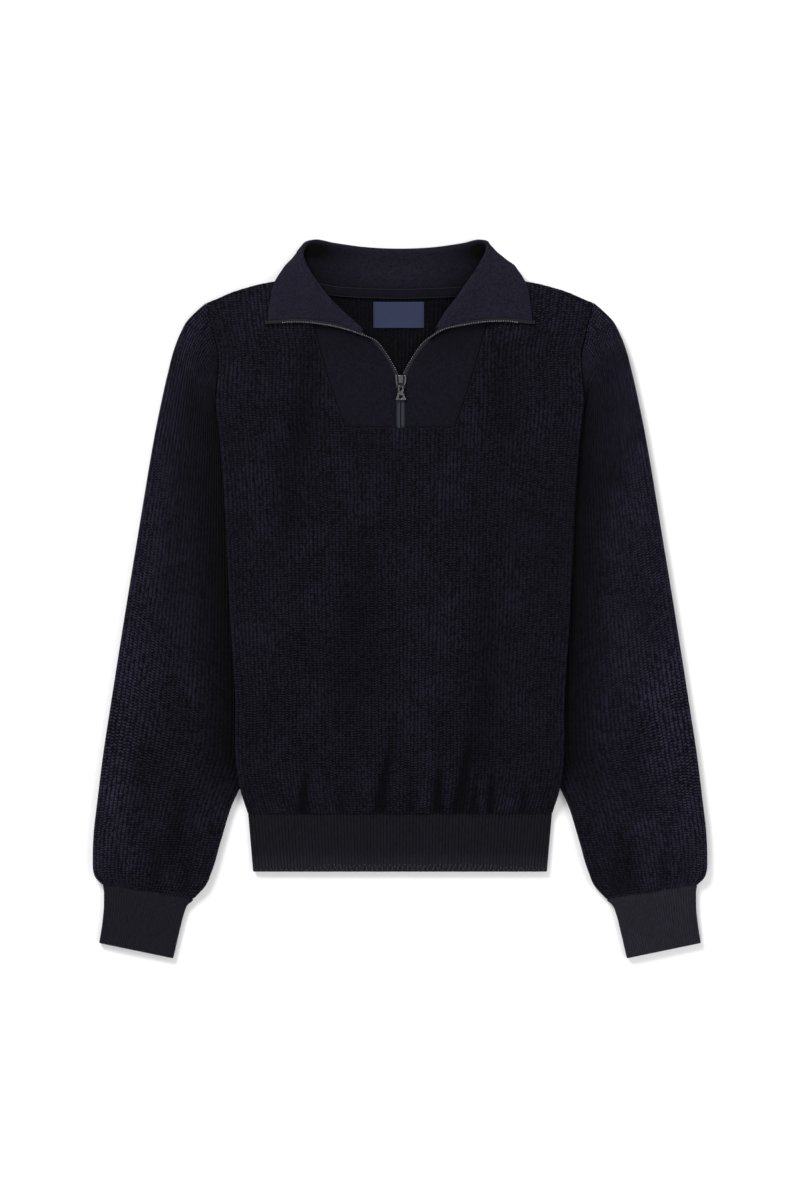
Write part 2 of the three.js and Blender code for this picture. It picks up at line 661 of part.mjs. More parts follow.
/** Middle sheet of the collar, from the left front edge round the back to the right. */
function collarSheet() {
  const left = COLLAR_STATIONS.map((row) => ({ ...row, side: -1, x: row.lx, high: row.lh }));
  const right = COLLAR_STATIONS.slice(0, -1).reverse()
    .map((row) => ({ ...row, side: 1, x: row.rx, high: row.rh }));
  const stations = [...left, ...right];
  const rolls = stations.map((row) => new THREE.Vector3(row.side * row.x, row.high, row.rz));
  return stations.map((row, index) => {
    const before = rolls[Math.max(index - 1, 0)];
    const after = rolls[Math.min(index + 1, rolls.length - 1)];
    const along = after.clone().sub(before).setZ(0).normalize();
    const aside = new THREE.Vector3(-along.y, along.x, 0);
    const turn = THREE.MathUtils.degToRad(row.turn);
    const toFall = aside.multiplyScalar(Math.sin(turn)).setZ(Math.cos(turn));
    const tip = along.clone().cross(toFall).normalize();
    const centre = rolls[index].clone().addScaledVector(tip, -ROLL_RADIUS);
    const seam = new THREE.Vector3(row.side * row.sx, row.sh, row.sz);
    const free = new THREE.Vector3(row.side * row.fx, row.fh, row.fz);
    const roll = ROLL_TURNS.map((degrees) => {
      const angle = THREE.MathUtils.degToRad(degrees);
      return centre.clone().addScaledVector(tip, ROLL_RADIUS * Math.cos(angle))
        .addScaledVector(toFall, ROLL_RADIUS * Math.sin(angle));
    });
    const fall = FALL_SHARES.map((share) => {
      const point = roll.at(-1).clone().lerp(free, share);
      point.y += row.bow * 4 * share * (1 - share);
      return point;
    });
    return [seam, seam.clone().lerp(roll[0], 0.5), ...roll, ...fall, free];
  });
}

/** Strip of tape along an edge: its near side lies a seam's gap off the edge. */
function tapeStrip(edge) {
  const rows = edge.map(({ point, out, wide }) => {
    const near = point.clone().addScaledVector(out, SEAM);
    const far = near.clone().addScaledVector(out, wide);
    return [near, far];
  });
  return evenWall(rows, TAPE_THICK);
}

/** Width of a zip tape at a height: it is wider where the zip is closed. */
function tapeWide(high) {
  return lerp(TAPE_CLOSED, TAPE_OPEN, ease(TAPE_WIDE_BELOW, TAPE_NARROW_ABOVE, high));
}

/** Points of an edge, each with the way out of the cloth and the tape's width there. */
function edgeOf(edge, inside) {
  return edge.map((point, index) => ({
    point,
    out: point.clone().sub(inside[index]),
    wide: tapeWide(point.y),
  }));
}

/** The same edge with each way out turned square to the edge's own run. */
function squared(edge) {
  return edge.map((place, index) => {
    const before = edge[Math.max(index - 1, 0)].point;
    const after = edge[Math.min(index + 1, edge.length - 1)].point;
    const along = after.clone().sub(before).normalize();
    const out = place.out.clone().addScaledVector(along, -place.out.dot(along)).normalize();
    return { ...place, out };
  });
}

/** The edge that a zip tape follows: up the placket, over the roll and out to the collar tip. */
function zipEdge(side) {
  const placket = placketSheet(side);
  const slit = placket.slice(0, TAPE_SLIT_ROWS);
  const low = edgeOf(slit.map((row) => row[0]), slit.map((row) => row[1]));
  const collar = collarSheet();
  const front = side < 0 ? collar[0] : collar.at(-1);
  const next = side < 0 ? collar[1] : collar.at(-2);
  const up = edgeOf(front, next).slice(ROLL_END);
  const between = low.at(-1).point.clone().lerp(up[0].point, 0.5);
  const turn = { point: between, out: new THREE.Vector3(0, 0, 1), wide: TAPE_TURN };
  return squared([...low, turn, ...up]);
}

/** One zip tape with the strip that holds its teeth. */
function zipTape(side) {
  return tapeStrip(zipEdge(side));
}

/** Small metal stop clamped on the tape's end at the collar tip. */
function zipStop(side) {
  const last = zipEdge(side).at(-1);
  const stop = new THREE.BoxGeometry(STOP_LONG, TAPE_OPEN, TAPE_THICK);
  const end = last.point.clone().addScaledVector(last.out, SEAM + TAPE_OPEN / 2);
  return stop.translate(end.x + side * (STOP_LONG / 2 + SEAM), end.y, end.z);
}

/** Strip over the back neck seam, inside. */
function neckTape() {
  const rows = steps(NECK_TAPE_LEFT, NECK_TAPE_RIGHT, NECK_TAPE_STRIPS).map((x) => (
    NECK_TAPE_ROWS.map((row) => new THREE.Vector3(x, backNeckHigh(x) + row.above, row.level))));
  return evenWall(rows, NECK_TAPE_THICK);
}

/** Woven label, bare. */
function neckLabel() {
  const wide = LABEL.right - LABEL.left;
  const tall = LABEL.top - LABEL.low;
  const plate = new THREE.BoxGeometry(wide, tall, LABEL.thick);
  const level = RIB_WALL + SEAM + LABEL.thick / 2;
  return plate.translate((LABEL.left + LABEL.right) / 2, (LABEL.low + LABEL.top) / 2, level);
}

/** Slider: two plates, the post between the tapes and the eye for the pull. */
function zipSlider() {
  const side = (sign) => SLIDER_SIDE.map((row) => [ZIP_X + sign * row.half, SLIDER_LOW + row.above]);
  const outline = [...side(1), ...side(-1).reverse()];
  const under = solidOf(prism(outline, SLIDER_PLATE_UNDER, SLIDER_UNDER_THICK));
  const over = solidOf(prism(outline, SLIDER_PLATE_OVER, SLIDER_OVER_THICK));
  const tall = SLIDER_PLATE_OVER - SLIDER_PLATE_UNDER;
  const post = new THREE.CylinderGeometry(POST_RADIUS, POST_RADIUS, tall, ROUND_SIDES);
  post.rotateX(Math.PI / 2);
  post.translate(ZIP_X, POST_HIGH, SLIDER_PLATE_UNDER + SLIDER_UNDER_THICK / 2 + tall / 2);
  const centre = eyeCentre();
  const ring = new THREE.Shape().absarc(0, 0, EYE_OUTER, 0, Math.PI * 2);
  ring.holes.push(new THREE.Path().absarc(0, 0, EYE_HOLE, 0, Math.PI * 2));
  const eye = new THREE.ExtrudeGeometry(ring, {
    depth: EYE_WIDE, bevelEnabled: false, curveSegments: ROUND_SIDES,
  });
  eye.rotateY(Math.PI / 2).translate(ZIP_X - EYE_WIDE / 2, centre.y, centre.z);
  return shapeOf(under.add(over).add(solidOf(post)).add(solidOf(eye)));
}

/** Middle of the slider's eye, where the pull turns. */
function eyeCentre() {
  const plateTop = SLIDER_PLATE_OVER + SLIDER_OVER_THICK;
  return new THREE.Vector3(ZIP_X, EYE_HIGH, plateTop + EYE_OUTER - EYE_SUNK);
}

/** Pull: a frame whose bar passes through the eye, and a tab with a round hole. */
function zipPull() {
  const side = (sign) => [
    [sign * PULL_FRAME_HALF, PULL_BAR_HALF],
    [sign * PULL_FRAME_HALF, -PULL_SHOULDER_LONG],
    [sign * PULL_NECK_HALF, -PULL_NECK_LONG],
    [sign * PULL_TAB_HALF, -PULL_TAB_LONG + PULL_CORNER],
    [sign * (PULL_TAB_HALF - PULL_CORNER), -PULL_TAB_LONG],
  ].map(([x, y]) => new THREE.Vector2(x, y));
  const outline = new THREE.Shape([...side(-1), ...side(1).reverse()]);
  outline.holes.push(new THREE.Path([
    [-PULL_WINDOW_HALF, -PULL_BAR_HALF],
    [PULL_WINDOW_HALF, -PULL_BAR_HALF],
    [PULL_WINDOW_HALF, -PULL_WINDOW_LONG],
    [-PULL_WINDOW_HALF, -PULL_WINDOW_LONG],
  ].map(([x, y]) => new THREE.Vector2(x, y))));
  outline.holes.push(new THREE.Path().absarc(0, -PULL_HOLE_AT, PULL_HOLE_RADIUS, 0, Math.PI * 2));
  const shape = new THREE.ExtrudeGeometry(outline, {
    depth: PULL_THICK, bevelEnabled: false, curveSegments: ROUND_SIDES,
  });
  const centre = eyeCentre();
  shape.translate(0, 0, -PULL_THICK / 2).rotateX(PULL_DROOP);
  return shape.translate(centre.x, centre.y, centre.z);
}

/** Adds a named mesh to a group. */
function addPiece(group, name, shape, material) {
  const mesh = new THREE.Mesh(shape, material);
  mesh.name = name;
  group.add(mesh);
  return mesh;
}

const garment = new THREE.Group();
const leftSleeve = flatTube(SLEEVE_RINGS, SLEEVE_RIBS, RIB_RISE, RIB_WALL, SLEEVE_PLAIN);
const leftCuff = flatTube(CUFF_RINGS, CUFF_RIBS, BAND_RIB_RISE, BAND_WALL, CUFF_PLAIN);
addPiece(garment, 'front_panel', frontPanel(), RIB_KNIT);
addPiece(garment, 'back_panel', backPanel(), RIB_KNIT);
addPiece(garment, 'hem_band', hemBand(), BAND_KNIT);
addPiece(garment, 'sleeve_left', leftSleeve, RIB_KNIT);
addPiece(garment, 'sleeve_right', mirrored(leftSleeve), RIB_KNIT);
addPiece(garment, 'cuff_left', leftCuff, BAND_KNIT);
addPiece(garment, 'cuff_right', mirrored(leftCuff), BAND_KNIT);
addPiece(garment, 'placket_left', evenWall(placketSheet(-1), COLLAR_WALL), SMOOTH_KNIT);
addPiece(garment, 'placket_right', evenWall(placketSheet(1), COLLAR_WALL), SMOOTH_KNIT);
addPiece(garment, 'collar', evenWall(collarSheet(), COLLAR_WALL), SMOOTH_KNIT);
addPiece(garment, 'neck_tape', neckTape(), SMOOTH_KNIT);
addPiece(garment, 'label', neckLabel(), WOVEN_LABEL);
addPiece(garment, 'zip_tape_left', zipTape(-1), TAPE_CLOTH);
addPiece(garment, 'zip_tape_right', zipTape(1), TAPE_CLOTH);
addPiece(garment, 'zip_stop_left', zipStop(-1), ZIP_METAL);
addPiece(garment, 'zip_stop_right', zipStop(1), ZIP_METAL);
addPiece(garment, 'zip_slider', zipSlider(), ZIP_METAL);
addPiece(garment, 'zip_pull', zipPull(), ZIP_METAL);

// The box of the whole stands centred on the origin.
const box = new THREE.Box3().setFromObject(garment, true);
const centre = box.getCenter(new THREE.Vector3());
garment.position.set(-centre.x, -centre.y, -box.min.z);
garment.updateMatrixWorld(true);

export default garment;
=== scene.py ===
"""Quarter zip sweater laid flat on a pale floor: knitted shells, zip, label and studio.

Lengths are millimetres until a mesh is made. x runs from the centre line to the viewer's right, "high"
runs up from the lower edge of the hem band, and z rises from the surface that the garment lies on.
"""

import logging
import math
from collections.abc import Sequence
from dataclasses import dataclass, field
from enum import Enum

import bmesh
import bpy
import numpy as np
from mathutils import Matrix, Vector


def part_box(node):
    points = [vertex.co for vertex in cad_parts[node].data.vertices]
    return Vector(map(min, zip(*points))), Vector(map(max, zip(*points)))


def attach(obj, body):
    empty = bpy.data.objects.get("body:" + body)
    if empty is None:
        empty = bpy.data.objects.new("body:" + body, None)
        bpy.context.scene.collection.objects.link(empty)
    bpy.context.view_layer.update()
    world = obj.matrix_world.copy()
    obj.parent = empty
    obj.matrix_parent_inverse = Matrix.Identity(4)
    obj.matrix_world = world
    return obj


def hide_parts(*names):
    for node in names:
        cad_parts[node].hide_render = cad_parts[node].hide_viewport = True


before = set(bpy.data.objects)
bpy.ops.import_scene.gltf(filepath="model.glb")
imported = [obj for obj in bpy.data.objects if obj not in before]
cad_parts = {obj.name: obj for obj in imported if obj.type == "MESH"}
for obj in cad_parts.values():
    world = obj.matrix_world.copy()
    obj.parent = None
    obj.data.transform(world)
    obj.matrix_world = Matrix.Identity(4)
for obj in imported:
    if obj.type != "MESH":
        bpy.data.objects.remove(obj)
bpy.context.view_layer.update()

LOG = logging.getLogger("sweater")
MILLIMETRE = 0.001
HEM_EDGE_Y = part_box("hem_band")[0].y
CLOTH_BODY = "sweater"
PULL_BODY = "pull"
KNIT_UV = "knit"
SHADE_ATTRIBUTE = "shade"
UP_ATTRIBUTE = "up"

Table = dict[str, tuple[float, ...]]
Colour = tuple[float, float, float, float]
Outline = Sequence[tuple[float, float]]


class Side(Enum):
    """The viewer's side of a paired piece, as the sign of x."""

    LEFT = -1
    RIGHT = 1


class Course(Enum):
    """Height in millimetres of one row of stitches, by kind of knit."""

    RIB = 2.5
    BAND = 1.7
    SMOOTH = 1.25


SMOOTH_STITCH = (1.5, Course.SMOOTH.value)
BAND_WALL = 2.5
NECK_BAND_SPAN = (-80.0, 70.0)


def lerp(start: float, end: float, share: float) -> float:
    """Value or array between two values or arrays."""
    return start + (end - start) * share


def ease(start: float, end: float, value: np.ndarray) -> np.ndarray:
    """Rises smoothly from 0 at start to 1 at end.

    Args:
        start: place where the rise begins.
        end: place where it is complete.
        value: place or places to read.

    Returns:
        Shares from 0 to 1.
    """
    share = np.clip((value - start) / (end - start), 0.0, 1.0)
    return share * share * (3 - 2 * share)


def blended(knots: np.ndarray, values: np.ndarray, at: np.ndarray, monotone: bool) -> np.ndarray:
    """Reads a smooth curve through points at unequal distances.

    Args:
        knots: rising places of the points.
        values: the points, a number or a vector each.
        at: places to read.
        monotone: keeps the curve from passing a point's own value between points.

    Returns:
        The curve's values at the places asked.
    """
    shape = (-1,) + (1,) * (values.ndim - 1)
    run = np.diff(knots)
    rise = np.diff(values, axis=0) / run.reshape(shape)
    before, after = run[:-1].reshape(shape), run[1:].reshape(shape)
    middle = (rise[:-1] * after + rise[1:] * before) / (before + after)
    if monotone:
        middle = np.where(rise[:-1] * rise[1:] > 0, middle, 0.0)
    slope = np.concatenate([rise[:1], middle, rise[-1:]])
    at = np.clip(at, knots[0], knots[-1])
    row = np.clip(np.searchsorted(knots, at, side="right") - 1, 0, len(run) - 1)
    share = ((at - knots[row]) / run[row]).reshape(at.shape + (1,) * (values.ndim - 1))
    step = run[row].reshape(share.shape)
    from_start = (1 + 2 * share) * (1 - share) ** 2 * values[row] + share * (1 - share) ** 2 * step * slope[row]
    from_end = share**2 * (3 - 2 * share) * values[row + 1] + share**2 * (share - 1) * step * slope[row + 1]
    return from_start + from_end


def read(table: Table, key: str, column: str, at: np.ndarray) -> np.ndarray:
    """Reads a smooth curve through one column of a table.

    Args:
        table: columns by name.
        key: the column of places.
        column: the column of values.
        at: places to read.

    Returns:
        The values there.
    """
    return blended(np.array(table[key]), np.array(table[column]), np.asarray(at, float), True)


def refine(grid: np.ndarray, axis: int, step: float) -> np.ndarray:
    """Adds smooth points between the points of a grid.

    Args:
        grid: rows by columns by x, y, z and any further values.
        axis: 0 adds rows and 1 adds columns.
        step: about how far apart the new points lie.

    Returns:
        The finer grid.
    """
    least_reach = 0.05
    lines = np.moveaxis(grid, axis, 0)
    reach = np.linalg.norm(np.diff(lines[..., :3], axis=0), axis=2).mean(axis=1)
    knots = np.concatenate([[0.0], np.cumsum(np.maximum(reach, least_reach))])
    places = [np.linspace(a, b, max(2, round((b - a) / step)), endpoint=False)
              for a, b in zip(knots[:-1], knots[1:])]
    at = np.concatenate([*places, knots[-1:]])
    return np.moveaxis(blended(knots, lines, at, False), 0, axis)


def edge_share(across: np.ndarray, power: float) -> np.ndarray:
    """Height share of a flattened round edge: 1 inside, 0 at across = -1 and 1."""
    return np.maximum(0.0, 1 - np.abs(across) ** power) ** (1 / power)


def uneven(x: np.ndarray, y: np.ndarray, wave: float, seed: int) -> np.ndarray:
    """Smooth random swell from -1 to 1 over a face, the same in each run.

    Args:
        x: places across.
        y: places along.
        wave: rough length of one swell.
        seed: picks the pattern.

    Returns:
        The swell at each place.
    """
    size = 97
    coarse_and_fine = ((1.0, 0.7), (2.3, 0.3))
    lattice = np.random.default_rng(seed).uniform(-1, 1, (size, size))
    total = np.zeros(np.broadcast(x, y).shape)
    for pace, weight in coarse_and_fine:
        u, v = x * pace / wave, y * pace / wave
        i, j = np.floor(u).astype(int), np.floor(v).astype(int)
        s, t = ease(0, 1, u - i), ease(0, 1, v - j)
        low = lerp(lattice[i % size, j % size], lattice[(i + 1) % size, j % size], s)
        high = lerp(lattice[i % size, (j + 1) % size], lattice[(i + 1) % size, (j + 1) % size], s)
        total = total + weight * lerp(low, high, t)
    return total


def in_frame(points: np.ndarray) -> np.ndarray:
    """Takes points from the garment's x, high and z in millimetres to metres in the shared frame."""
    placed = points * MILLIMETRE
    placed[:, 1] += HEM_EDGE_Y
    return placed


def linked(name: str, data: bpy.types.ID) -> bpy.types.Object:
    """Makes an object of some data, at the origin of the scene."""
    made = bpy.data.objects.new(name, data)
    bpy.context.scene.collection.objects.link(made)
    return made


@dataclass(frozen=True)
class Fold:
    """A soft trough or ridge laid along a straight run in plan, in millimetres."""

    x: float
    high: float
    lean: float
    tall: float
    wide: float
    rise: float
    start: float = 0.15
    end: float = 0.5
    taper: float = 0.0

    def height(self, x: np.ndarray, high: np.ndarray) -> np.ndarray:
        """Height that the fold adds at each place."""
        along = (high - self.high) / self.tall
        wide = self.wide * (1 - self.taper * np.clip(along, 0, 1))
        across = np.exp(-(((x - self.x - self.lean * along) / wide) ** 2))
        return self.rise * across * ease(-self.start, self.start, along) * (1 - ease(1 - self.end, 1, along))


class Shell:
    """Gathers grids of points into one closed wall with a UV map that counts ribs and rows."""

    def __init__(self) -> None:
        """Starts an empty wall."""
        self.points: list[np.ndarray] = []
        self.uv: list[np.ndarray] = []
        self.shade: list[np.ndarray] = []
        self.faces: list[np.ndarray] = []
        self.corners: list[np.ndarray] = []
        self.count = 0

    def add(self, points: np.ndarray, uv: np.ndarray, shade: np.ndarray | float = 0.0) -> np.ndarray:
        """Adds a grid of points.

        Args:
            points: rows by columns by x, high and z.
            uv: the same grid's rib and row counts.
            shade: how dark each point lies, below 0 where lit and 1 deep in a crease.

        Returns:
            The points' numbers, in the same grid.
        """
        rows, columns = points.shape[:2]
        ids = self.count + np.arange(rows * columns).reshape(rows, columns)
        self.points.append(points.reshape(-1, 3))
        self.uv.append(uv.reshape(-1, 2))
        self.shade.append(np.broadcast_to(shade, (rows, columns)).reshape(-1))
        self.count += rows * columns
        return ids

    def fill(self, ids: np.ndarray, uv: np.ndarray, over: bool = False) -> None:
        """Fills a grid of point numbers with faces.

        Args:
            ids: point numbers, rows by columns.
            uv: rib and row counts for each corner, rows by columns.
            over: turns the faces over.
        """
        def ring(grid: np.ndarray) -> np.ndarray:
            """Four corners of each face, in order."""
            corners = [grid[:-1, :-1], grid[:-1, 1:], grid[1:, 1:], grid[1:, :-1]]
            return np.stack(corners[::-1] if over else corners, axis=2)

        self.faces.append(ring(ids).reshape(-1, 4))
        self.corners.append(ring(uv).reshape(-1, 4, 2))

    def bridge(self, first: np.ndarray, second: np.ndarray) -> None:
        """Closes the strip between two lines of points that may differ in number.

        Args:
            first: point numbers of the finer line.
            second: point numbers of the other line, running the same way.
        """
        i = j = 0
        faces = []
        while i + 1 < len(first) or j + 1 < len(second):
            halfway = (2 * j + 1) / 2 / max(1, len(second) - 1)
            if j + 1 >= len(second) or (i + 1 < len(first) and (i + 1) / (len(first) - 1) <= halfway):
                faces.append((first[i + 1], first[i], second[j]))
                i += 1
            else:
                faces.append((second[j], second[j + 1], first[i]))
                j += 1
        self.faces.append(np.array(faces))
        self.corners.append(np.concatenate(self.uv)[np.array(faces)])

    def sheet(
        self, outer: np.ndarray, outer_uv: np.ndarray, inner: np.ndarray, inner_uv: np.ndarray,
        shade: np.ndarray | float = 0.0,
    ) -> "Shell":
        """Closes a wall between an outer and an inner open sheet.

        Args:
            outer: the grid that shows.
            outer_uv: its rib and row counts.
            inner: the grid behind it, as fine or coarser.
            inner_uv: its rib and row counts.
            shade: how dark each outer point lies, below 0 where lit and 1 deep in a crease; an inner sheet
                that is as fine takes it too.

        Returns:
            This wall.
        """
        even = shade if inner.shape == outer.shape else 0.0
        out, back = self.add(outer, outer_uv, shade), self.add(inner, inner_uv, even)
        self.fill(out, outer_uv)
        self.fill(back, inner_uv, over=True)
        self.bridge(out[0], back[0])
        self.bridge(out[:, -1], back[:, -1])
        self.bridge(out[-1, ::-1], back[-1, ::-1])
        self.bridge(out[::-1, 0], back[::-1, 0])
        return self

    def tube(
        self, outer: np.ndarray, outer_uv: np.ndarray, inner: np.ndarray, inner_uv: np.ndarray,
        shade: np.ndarray | float = 0.0,
    ) -> "Shell":
        """Closes a wall between an outer and an inner tube, open at both ends.

        Args:
            outer: the grid that shows, each row once round.
            outer_uv: its rib and row counts, with one more column than the points.
            inner: the grid inside it, each row once round.
            inner_uv: its rib and row counts, with one more column than the points.
            shade: how dark each outer point lies, below 0 where lit and 1 deep in a crease.

        Returns:
            This wall.
        """
        out, back = self.add(outer, outer_uv[:, :-1], shade), self.add(inner, inner_uv[:, :-1])
        out = np.concatenate([out, out[:, :1]], axis=1)
        back = np.concatenate([back, back[:, :1]], axis=1)
        self.fill(out, outer_uv)
        self.fill(back, inner_uv, over=True)
        self.bridge(out[0], back[0])
        self.bridge(out[-1, ::-1], back[-1, ::-1])
        return self

    def object(self, name: str, material: bpy.types.Material, crease: float = 55.0) -> bpy.types.Object:
        """Makes the Blender object, in metres in the shared frame, with its faces outwards.

        Args:
            name: the piece's name.
            material: its finish.
            crease: the angle in degrees past which an edge stays sharp.

        Returns:
            The new object at the origin.
        """
        points = in_frame(np.concatenate(self.points))
        mesh = bpy.data.meshes.new(name)
        mesh.from_pydata(points.tolist(), [], [face for block in self.faces for face in block.tolist()])
        layer = mesh.uv_layers.new(name=KNIT_UV)
        layer.data.foreach_set("uv", np.concatenate([block.reshape(-1) for block in self.corners]))
        shades = mesh.attributes.new(SHADE_ATTRIBUTE, "FLOAT", "POINT")
        shades.data.foreach_set("value", np.concatenate(self.shade).astype(np.float32))
        corners = [np.concatenate([points[block[:, 0]], points[block[:, 1]], points[block[:, 2]]], axis=1)
                   for block in self.faces]
        a, b, c = np.split(np.concatenate(corners), 3, axis=1)
        if np.einsum("ij,ij->i", a, np.cross(b, c)).sum() < 0:
            mesh.flip_normals()
        return finished_object(name, mesh, material, crease)


def finished_object(
    name: str, mesh: bpy.types.Mesh, material: bpy.types.Material | None, crease: float = 55.0
) -> bpy.types.Object:
    """Links a mesh as a smooth object at the origin.

    Args:
        name: the piece's name.
        mesh: its mesh.
        material: its finish, or none to keep what the mesh has.
        crease: the angle in degrees past which an edge stays sharp.

    Returns:
        The new object.
    """
    if material is not None:
        mesh.materials.clear()
        mesh.materials.append(material)
    mesh.polygons.foreach_set("use_smooth", np.ones(len(mesh.polygons), dtype=bool))
    mesh.set_sharp_from_angle(angle=math.radians(crease))
    mesh.update()
    return linked(name, mesh)


def applied(source: bpy.types.Object) -> bpy.types.Object:
    """Turns an object with modifiers into a plain one of the same name.

    Args:
        source: the object, which is removed.

    Returns:
        The plain object.
    """
    name = source.name
    graph = bpy.context.evaluated_depsgraph_get()
    mesh = bpy.data.meshes.new_from_object(source.evaluated_get(graph))
    source.modifiers.clear()
    bpy.data.objects.remove(source)
    mesh.name = name
    return linked(name, mesh)


def cut_by(piece: bpy.types.Object, outline: Outline) -> bpy.types.Object:
    """Cuts an upright opening through a piece.

    Args:
        piece: the closed wall to cut.
        outline: corners of the opening as x and high.

    Returns:
        The cut piece, under the same name.
    """
    block = bmesh.new()
    low, tall = -0.01, 0.06
    floor = [block.verts.new((x * MILLIMETRE, high * MILLIMETRE + HEM_EDGE_Y, low)) for x, high in outline]
    base = block.faces.new(floor)
    raised = bmesh.ops.extrude_face_region(block, geom=[base])["geom"]
    bmesh.ops.translate(block, vec=(0, 0, tall), verts=[v for v in raised if isinstance(v, bmesh.types.BMVert)])
    bmesh.ops.recalc_face_normals(block, faces=block.faces)
    mesh = bpy.data.meshes.new("cutter")
    block.to_mesh(mesh)
    block.free()
    cutter = linked("cutter", mesh)
    cut = piece.modifiers.new("opening", "BOOLEAN")
    cut.operation = "DIFFERENCE"
    cut.solver = "MANIFOLD"
    cut.object = cutter
    made = applied(piece)
    bpy.data.objects.remove(cutter)
    return made


def grid_normals(grid: np.ndarray) -> np.ndarray:
    """Unit normals of a grid of points, from its neighbours along and across."""
    along, across = np.gradient(grid, axis=0), np.gradient(grid, axis=1)
    normal = np.cross(along, across)
    return normal / np.maximum(np.linalg.norm(normal, axis=2, keepdims=True), 1e-9)


def rim_taper(count: int, depth: int) -> np.ndarray:
    """Thickness shares along a line that round off its two ends.

    Args:
        count: points in the line.
        depth: points over which each end rounds off.

    Returns:
        A share for each point, 1 in the middle.
    """
    thinnest = 0.45
    place = np.clip(np.minimum(np.arange(count), np.arange(count)[::-1]) / depth, 0, 1)
    return lerp(thinnest, 1.0, np.sqrt(np.clip(1 - (1 - place) ** 2, 0, 1)))


def even_wall(
    grid: np.ndarray, thick: float, stitch: tuple[float, float], soft: int = 3, shade: np.ndarray | float = 0.0
) -> Shell:
    """Wall of even thickness about a middle sheet, with rounded rims.

    Args:
        grid: the middle sheet, rows by columns by x, high and z.
        thick: thickness of the wall.
        stitch: width and height of one stitch, for the UV map.
        soft: points over which each rim rounds off.
        shade: how dark each point lies, below 0 where lit and 1 deep in a crease.

    Returns:
        The closed wall.
    """
    normals = grid_normals(grid)
    taper = np.minimum.outer(rim_taper(grid.shape[0], soft), rim_taper(grid.shape[1], soft))[..., None]
    along = np.linalg.norm(np.diff(grid, axis=0, prepend=grid[:1]), axis=2).mean(axis=1).cumsum()
    across = np.linalg.norm(np.diff(grid, axis=1, prepend=grid[:, :1]), axis=2).mean(axis=0).cumsum()
    uv = np.stack(np.meshgrid(across / stitch[0], along / stitch[1]), axis=2)
    outer = grid + normals * (thick / 2 * taper)
    inner = grid - normals * (thick / 2 * taper)
    return Shell().sheet(outer, uv, inner, uv, shade)


class Graph:
    """Adds nodes to a tree and joins them with short calls."""

    def __init__(self, tree: bpy.types.NodeTree) -> None:
        """Starts on a tree."""
        self.tree = tree

    def node(self, kind: str, **inputs: object) -> bpy.types.Node:
        """Adds a node and sets or joins its inputs.

        Args:
            kind: the node's type name.
            **inputs: values or sockets by input name, with _ for a space.

        Returns:
            The node.
        """
        made = self.tree.nodes.new(kind)
        for name, value in inputs.items():
            self.feed(made.inputs[name.replace("_", " ")], value)
        return made

    def feed(self, socket: bpy.types.NodeSocket, value: object) -> None:
        """Joins a socket to another, or gives it a value."""
        if isinstance(value, bpy.types.NodeSocket):
            self.tree.links.new(value, socket)
        else:
            socket.default_value = value

    def math(self, operation: str, *values: object) -> bpy.types.NodeSocket:
        """Adds a Math node.

        Args:
            operation: the node's operation.
            *values: numbers or sockets, in order.

        Returns:
            Its result.
        """
        made = self.tree.nodes.new("ShaderNodeMath")
        made.operation = operation
        for socket, value in zip(made.inputs, values):
            self.feed(socket, value)
        return made.outputs[0]

    def about(self, value: bpy.types.NodeSocket, spread: float, middle: float = 1.0) -> bpy.types.NodeSocket:
        """Turns a value from 0 to 1 into one that swings about a middle.

        Args:
            value: the socket to turn.
            spread: the whole width of the swing, below 0 to turn it over.
            middle: the result where the value is 0.5.

        Returns:
            The result.
        """
        return self.math("MULTIPLY_ADD", value, spread, middle - spread / 2)

    def mix(self, share: object, low: object, high: object) -> bpy.types.NodeSocket:
        """Mixes two colours.

        Args:
            share: number or socket from 0 to 1.
            low: colour or socket at 0.
            high: colour or socket at 1.

        Returns:
            The mixed colour.
        """
        factor, first, second, result = 0, 6, 7, 2
        made = self.tree.nodes.new("ShaderNodeMix")
        made.data_type = "RGBA"
        for index, value in ((factor, share), (first, low), (second, high)):
            self.feed(made.inputs[index], value)
        return made.outputs[result]

    def shaded(self, colour: bpy.types.NodeSocket, strength: float) -> bpy.types.NodeSocket:
        """Paints light and shade into a colour: darkens it as painted shade where the shade attribute is above 0, in
        creases and shadows, and lifts it as painted light where the attribute is below 0.

        Args:
            colour: the colour to change.
            strength: the share taken off where the attribute is 1.

        Returns:
            The changed colour.
        """
        # The shade attribute carries painted shade above 0 and painted light below 0.
        crease = self.tree.nodes.new("ShaderNodeAttribute")
        crease.attribute_name = SHADE_ATTRIBUTE
        made = self.node("ShaderNodeVectorMath", Vector=colour)
        made.operation = "SCALE"
        self.feed(made.inputs["Scale"], self.math("MULTIPLY_ADD", crease.outputs["Fac"], -strength, 1.0))
        return made.outputs["Vector"]

    def group(self, tree: bpy.types.NodeTree, **inputs: object) -> bpy.types.Node:
        """Places a shared group and sets or joins its inputs."""
        made = self.tree.nodes.new("ShaderNodeGroup")
        made.node_tree = tree
        for name, value in inputs.items():
            self.feed(made.inputs[name.replace("_", " ")], value)
        return made


